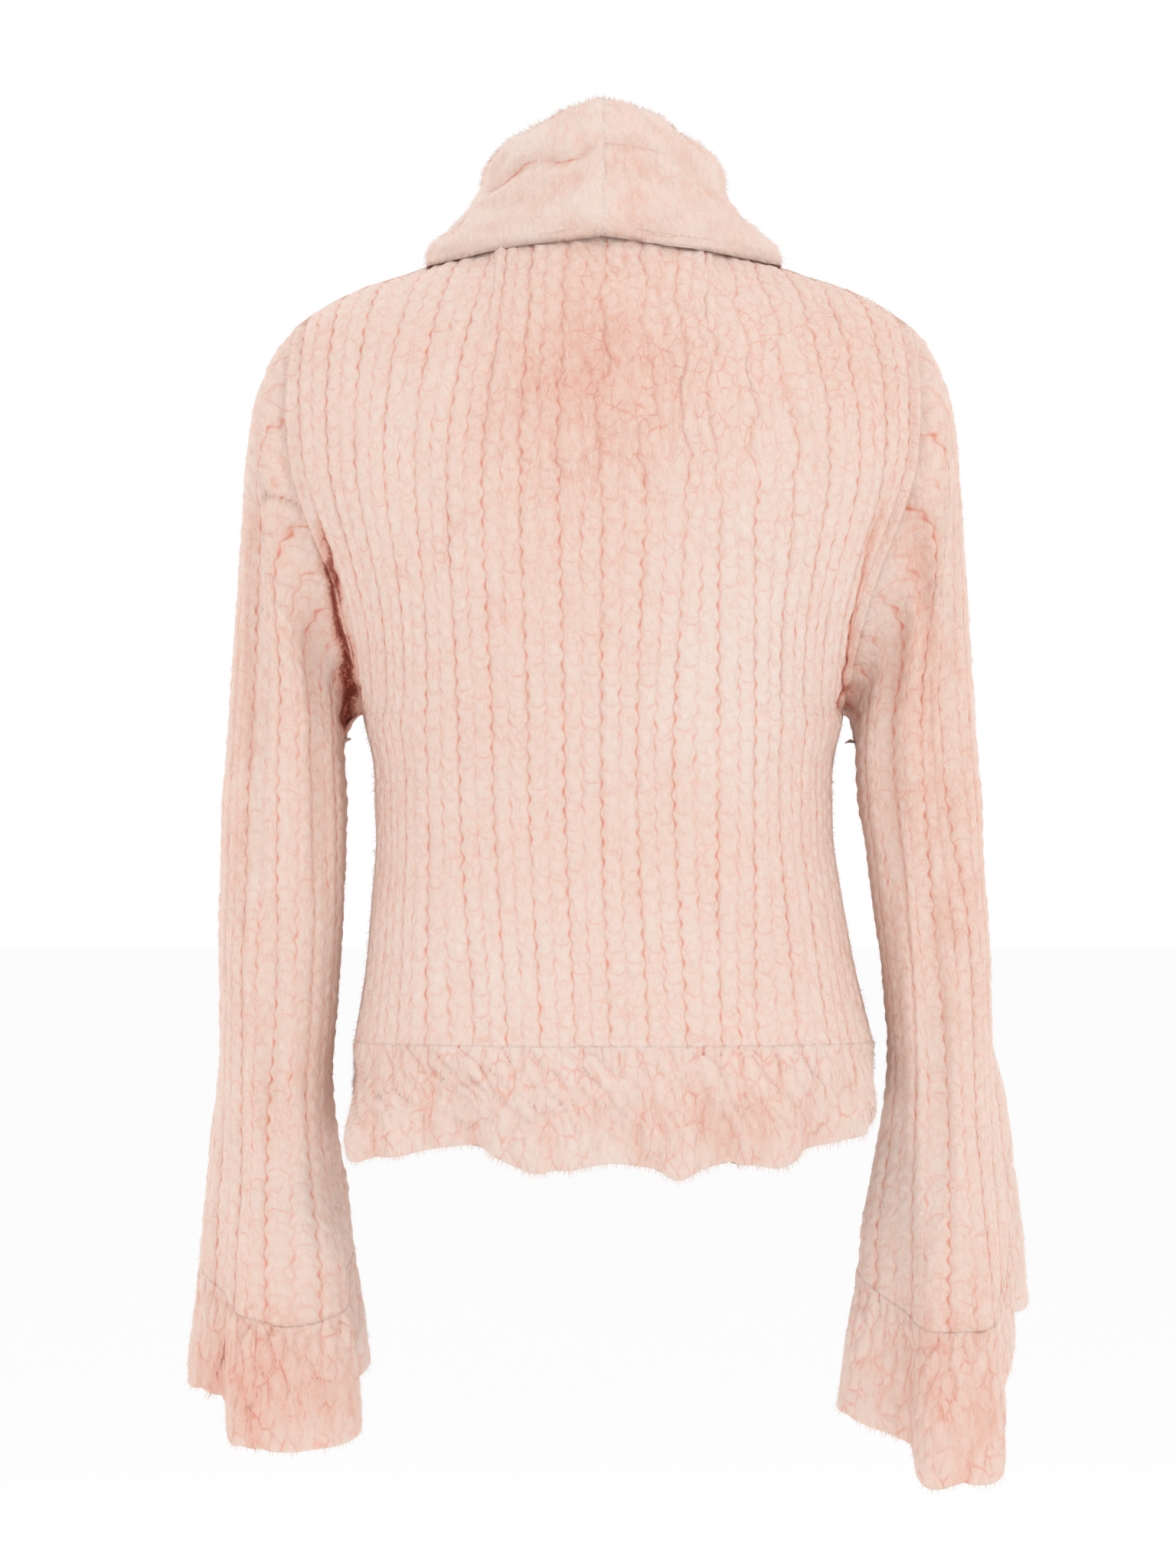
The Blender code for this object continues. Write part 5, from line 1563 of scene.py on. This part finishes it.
def stitch_lines(tree, place):
    """How near a place is to the borders of its knitted stitch, from 0 to 1. A border
    between two columns has a bead at each stitch, and every other one is fainter."""
    across, along = map_parts(tree, "stitch")
    small = node(tree, "ShaderNodeTexNoise", Vector=place, Scale=170.0)
    wave = worked(tree, "COSINE", worked(tree, "MULTIPLY", along, 2.0 * math.pi))
    flip = worked(tree, "COSINE", worked(tree, "MULTIPLY", across, math.pi))
    bent = worked(tree, "MULTIPLY_ADD", worked(tree, "MULTIPLY", wave, flip), SCALLOP, across)
    bent = worked(tree, "ADD", bent, worked(tree, "MULTIPLY_ADD", small.outputs["Fac"], 0.2, -0.1))
    border = worked(tree, "ROUND", bent)
    beside = worked(tree, "ABSOLUTE", worked(tree, "SUBTRACT", bent, border))
    beside = worked(tree, "MULTIPLY", beside, STITCH_WIDTH)
    even = worked(tree, "COSINE", worked(tree, "MULTIPLY", border, math.pi))
    x, y = worked(tree, "MULTIPLY", border, 3.7), worked(tree, "MULTIPLY", along, 0.3)
    strength = worked(tree, "MULTIPLY_ADD", spotted(tree, x, y), 2.4, -0.55)
    strength = limited(tree, worked(tree, "MULTIPLY_ADD", even, 0.22, strength))
    turn = worked(tree, "MULTIPLY", along, 2.0 * math.pi)
    turn = worked(tree, "MULTIPLY_ADD", border, 0.5 * math.pi, turn)
    bead = worked(tree, "MULTIPLY_ADD", worked(tree, "COSINE", turn), 0.5, 0.5)
    bead = worked(tree, "MULTIPLY", bead, bead)
    width = worked(tree, "MULTIPLY_ADD", bead, 0.55, 0.5)
    upright = worked(tree, "MULTIPLY", fallen(tree, beside, width), strength)
    upright = worked(tree, "MULTIPLY", upright, worked(tree, "MULTIPLY_ADD", bead, 0.4, 0.6))
    column = worked(tree, "FLOOR", bent)
    odd = worked(tree, "COSINE", worked(tree, "MULTIPLY", column, math.pi))
    aside = worked(tree, "SUBTRACT", worked(tree, "SUBTRACT", bent, column), 0.5)
    row = worked(tree, "MULTIPLY_ADD", worked(tree, "MULTIPLY", aside, aside), -STITCH_ARCH, along)
    row = worked(tree, "ADD", row, worked(tree, "MULTIPLY_ADD", odd, -0.25, 0.25))
    row = worked(tree, "ADD", row, worked(tree, "MULTIPLY_ADD", small.outputs["Fac"], 0.24, -0.12))
    nearest = worked(tree, "ROUND", row)
    level = worked(tree, "ABSOLUTE", worked(tree, "SUBTRACT", row, nearest))
    level = worked(tree, "MULTIPLY", level, STITCH_HEIGHT)
    shown = spotted(tree, *(worked(tree, "MULTIPLY", part, 0.9) for part in (bent, row)))
    lying = limited(tree, worked(tree, "MULTIPLY_ADD", shown, 3.2, -1.3))
    lying = worked(tree, "MULTIPLY", worked(tree, "MULTIPLY", lying, 0.48), fallen(tree, level, 0.7))
    return worked(tree, "MAXIMUM", upright, lying)


def shell_material(name, streak, tuft, partings, raised, knitted=False):
    """Skin of the fur: its tone, its grooves, the partings between its tufts and fine
    streaks along the hair. Grooves and partings take the deeper salmon, partly as the
    salmon base that shows there and partly as painted shade."""
    material, tree, shader = fur_shader(name, 0.12)
    loose = attribute(tree, "loose")
    place = node(tree, "ShaderNodeTexCoord").outputs["Object"]
    stretched = node(tree, "ShaderNodeMapping", Vector=place, Scale=(1.0, 1.0, streak))
    hairs = node(tree, "ShaderNodeTexNoise", Vector=stretched.outputs["Vector"], Scale=900.0)
    hairs.inputs["Detail"].default_value = 3.0
    long_way = node(tree, "ShaderNodeMapping", Vector=place, Scale=(1.0, 1.0, 0.3))
    locks = node(tree, "ShaderNodeTexNoise", Vector=long_way.outputs["Vector"], Scale=260.0)
    varied = worked(tree, "ADD", hairs.outputs["Fac"], locks.outputs["Fac"])
    varied = worked(tree, "MULTIPLY_ADD", varied, 0.4, -0.4)
    shade = worked(tree, "ADD", attribute(tree, "tone"), varied)
    skin = ramp(tree, shade, SKIN)
    deep = ramp(tree, shade, DEEP)
    parting, plump = tufts_in(tree, place, *tuft)
    near = fallen(tree, attribute(tree, "line"), LINE_WIDTH)
    partings = worked(tree, "MULTIPLY_ADD", loose, LOOSE_PARTINGS, partings)
    parting = worked(tree, "MULTIPLY", parting, partings)
    groove = worked(tree, "MAXIMUM", near, parting)
    if knitted:
        kept = worked(tree, "MULTIPLY_ADD", loose, -LOOSE_COLUMNS, 1.0)
        columns = worked(tree, "MULTIPLY", stitch_lines(tree, place), kept)
        groove = worked(tree, "MAXIMUM", groove, columns)
    # Painted shade: grooves, partings and stitch borders turn to the deeper salmon
    tree.links.new(blend(tree, groove, skin, deep), shader.inputs["Base Color"])
    fine = worked(tree, "MULTIPLY", hairs.outputs["Fac"], 0.2)
    height = worked(tree, "MULTIPLY_ADD", plump, raised, fine)
    bump = node(tree, "ShaderNodeBump", Height=height, Strength=0.8, Distance=BUMP_HEIGHT)
    tree.links.new(bump.outputs["Normal"], shader.inputs["Normal"])
    shader.inputs["Subsurface Weight"].default_value = GLOW
    shader.inputs["Subsurface Radius"].default_value = (1.0, 0.42, 0.3)
    shader.inputs["Subsurface Scale"].default_value = 0.006
    return material


def blade_material(name):
    """Hair: darker and pinker at its root, pale at its tip, by the tone it lies in."""
    material, tree, shader = fur_shader(name, 0.25)
    tone, height = map_parts(tree, "OFBake")
    along = worked(tree, "DIVIDE", height, BLADE_MAP_HEIGHT)
    colour = blend(tree, along, ramp(tree, tone, ROOT), ramp(tree, tone, TIP))
    tree.links.new(colour, shader.inputs["Base Color"])
    return material


KNIT_HAIR = {"length": 4.5, "width": 0.42, "lean": 70.0, "stray": 0.4, "clump": 0.3, "tuft": 4.0}
PLUSH_HAIR = {"length": 5.6, "width": 0.55, "lean": 69.0, "stray": 0.25, "clump": 0.35, "tuft": 6.0}
COLLAR_HAIR = {"length": 5.0, "width": 0.5, "lean": 68.0, "stray": 0.3, "clump": 0.3, "tuft": 7.0}


def dressed(name, surface, wall, materials, blades, seed):
    """A shell and its fur, in the place of the solid of the same name."""
    rims = rims_of(name)
    outer, inner = rounded_rims(surface["points"], wall, rims)
    outer, inner = lapped(outer, inner, rims), lapped(inner, outer, rims)
    surface["points"] = outer
    values = {"tone": surface["tone"], "line": surface["line"], "loose": surface["loose"]}
    cloth = shell(f"{name}_cloth", outer, inner, surface["closed"], values, surface["stitch"], rims)
    cloth.data.materials.append(materials["cloth"])
    count, hair = blades
    cover = fur(f"{name}_fur", surface, count, hair, seed)
    cover.data.materials.append(materials["fur"])
    # Light passes through the fine hair, which leaves no shadow on the skin
    cover.visible_shadow = False
    cover.visible_diffuse = False
    for piece in (cloth, cover):
        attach(piece, "root")
    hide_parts(name)


def make_jacket():
    knit_skin = shell_material("knitted_fur_cloth", 0.3, (0.0075, 1.3, 0.004), 0.3, 0.7, True)
    plush_skin = shell_material("plush_fur_cloth", 0.2, (0.0088, 1.9, 0.003), 0.62, 1.5)
    knit = {"cloth": knit_skin, "fur": blade_material("knitted_fur_hair")}
    plush = {"cloth": plush_skin, "fur": blade_material("plush_fur_hair")}
    collar_skin = shell_material("collar_fur_cloth", 0.3, (0.007, 1.6, 0.006), 0.26, 0.9)
    smooth = {"cloth": collar_skin, "fur": plush["fur"]}
    back = body_panel(1, (-1, 1))
    surface, wall = knitted_panel("back", 1, (-1, 1), back, 11)
    dressed("back", surface, wall,
            knit, (36000, KNIT_HAIR), 21)
    hem = hem_band(1, 0, *back[:2])
    surface, wall = plush_band("hem_back", *hem, "band", False, 31)
    dressed("hem_back", surface, wall,
            plush, (16000, PLUSH_HAIR), 41)
    for number, (name, sign) in enumerate((("left", 1), ("right", -1))):
        front = body_panel(-1, (sign,))
        surface, wall = knitted_panel(f"front_{name}", -1, (sign,), front, 51 + number)
        dressed(f"front_{name}", surface, wall,
                knit, (16000, KNIT_HAIR), 61 + number)
        hem = hem_band(-1, sign, *front[:2])
        surface, wall = plush_band(f"hem_front_{name}", *hem, "band", False, 71 + number)
        dressed(f"hem_front_{name}", surface, wall,
                plush, (6000, PLUSH_HAIR), 81 + number)
        arm = sleeve(name, sign, back[:2], front[:2])
        surface, wall = knitted_sleeve(f"sleeve_{name}", arm, 91 + number)
        dressed(f"sleeve_{name}", surface, wall,
                knit, (26000, KNIT_HAIR), 101 + number)
        end = cuff(name, sign, arm[0], arm[1], arm[3])
        surface, wall = plush_band(f"cuff_{name}", *end, "cuff", True, 111 + number)
        dressed(f"cuff_{name}", surface, wall,
                plush, (11000, PLUSH_HAIR), 121 + number)
        halves = collar_half(sign, back[:2], front[:2])
        surface, wall = plush_collar(f"collar_{name}", halves, 131 + number)
        dressed(f"collar_{name}", surface, wall,
                smooth, (18000, COLLAR_HAIR), 141 + number)


# The photo's view: 4.5 m behind the back, level with the middle of the picture
PHOTO_HEIGHT = 2048
PHOTO_SCALE = 0.000517
CAMERA_DISTANCE = 4.5
CAMERA_TARGET = (0.0078, 0.0, -0.3226)
SENSOR = 36.0
FLOOR_HEIGHT = -1.42
KEY_POWER = 26.0
FILL_POWER = 13.5


def make_camera():
    data = bpy.data.cameras.new("camera")
    data.sensor_fit = "AUTO"
    data.sensor_width = SENSOR
    data.lens = SENSOR * CAMERA_DISTANCE / (PHOTO_HEIGHT * PHOTO_SCALE)
    camera = placed("camera", data)
    camera.location = (CAMERA_TARGET[0], CAMERA_DISTANCE, CAMERA_TARGET[2])
    camera.rotation_euler = (0.5 * math.pi, 0.0, math.pi)
    bpy.context.scene.camera = camera


def soft_light(name, place, size, power, colour):
    """A square soft light that faces the middle of the jacket."""
    data = bpy.data.lights.new(name, "AREA")
    data.shape = "SQUARE"
    data.size = size
    data.energy = power
    data.color = colour
    light = placed(name, data)
    light.location = place
    away = Vector(place) - Vector(CAMERA_TARGET)
    light.rotation_euler = away.to_track_quat("Z", "Y").to_euler()


def make_surroundings():
    scene = bpy.context.scene
    scene.view_settings.view_transform = "Standard"
    world = bpy.data.worlds.new("studio")
    world.use_nodes = True
    sky = world.node_tree.nodes["Background"]
    sky.inputs["Color"].default_value = (1.0, 1.0, 1.0, 1.0)
    sky.inputs["Strength"].default_value = 1.0
    scene.world = world
    place = (0.0, 0.0, FLOOR_HEIGHT)
    bpy.ops.mesh.primitive_circle_add(vertices=96, radius=40.0, fill_type="NGON", location=place)
    floor = bpy.context.object
    floor.name = "floor"
    material = bpy.data.materials.new("floor")
    material.use_nodes = True
    shader = material.node_tree.nodes["Principled BSDF"]
    shader.inputs["Base Color"].default_value = (0.97, 0.97, 0.97, 1.0)
    shader.inputs["Roughness"].default_value = 0.9
    floor.data.materials.append(material)
    for prefix, side in (("", 1.0), ("front_", -1.0)):
        key_place = (-2.4 * side, 2.6 * side, 1.9)
        fill_place = (2.6 * side, 2.6 * side, 0.8)
        soft_light(f"{prefix}key", key_place, 1.2, KEY_POWER, (1.0, 0.985, 0.965))
        soft_light(f"{prefix}fill", fill_place, 1.8, FILL_POWER, (0.96, 0.98, 1.0))


make_camera()
make_surroundings()
make_jacket()
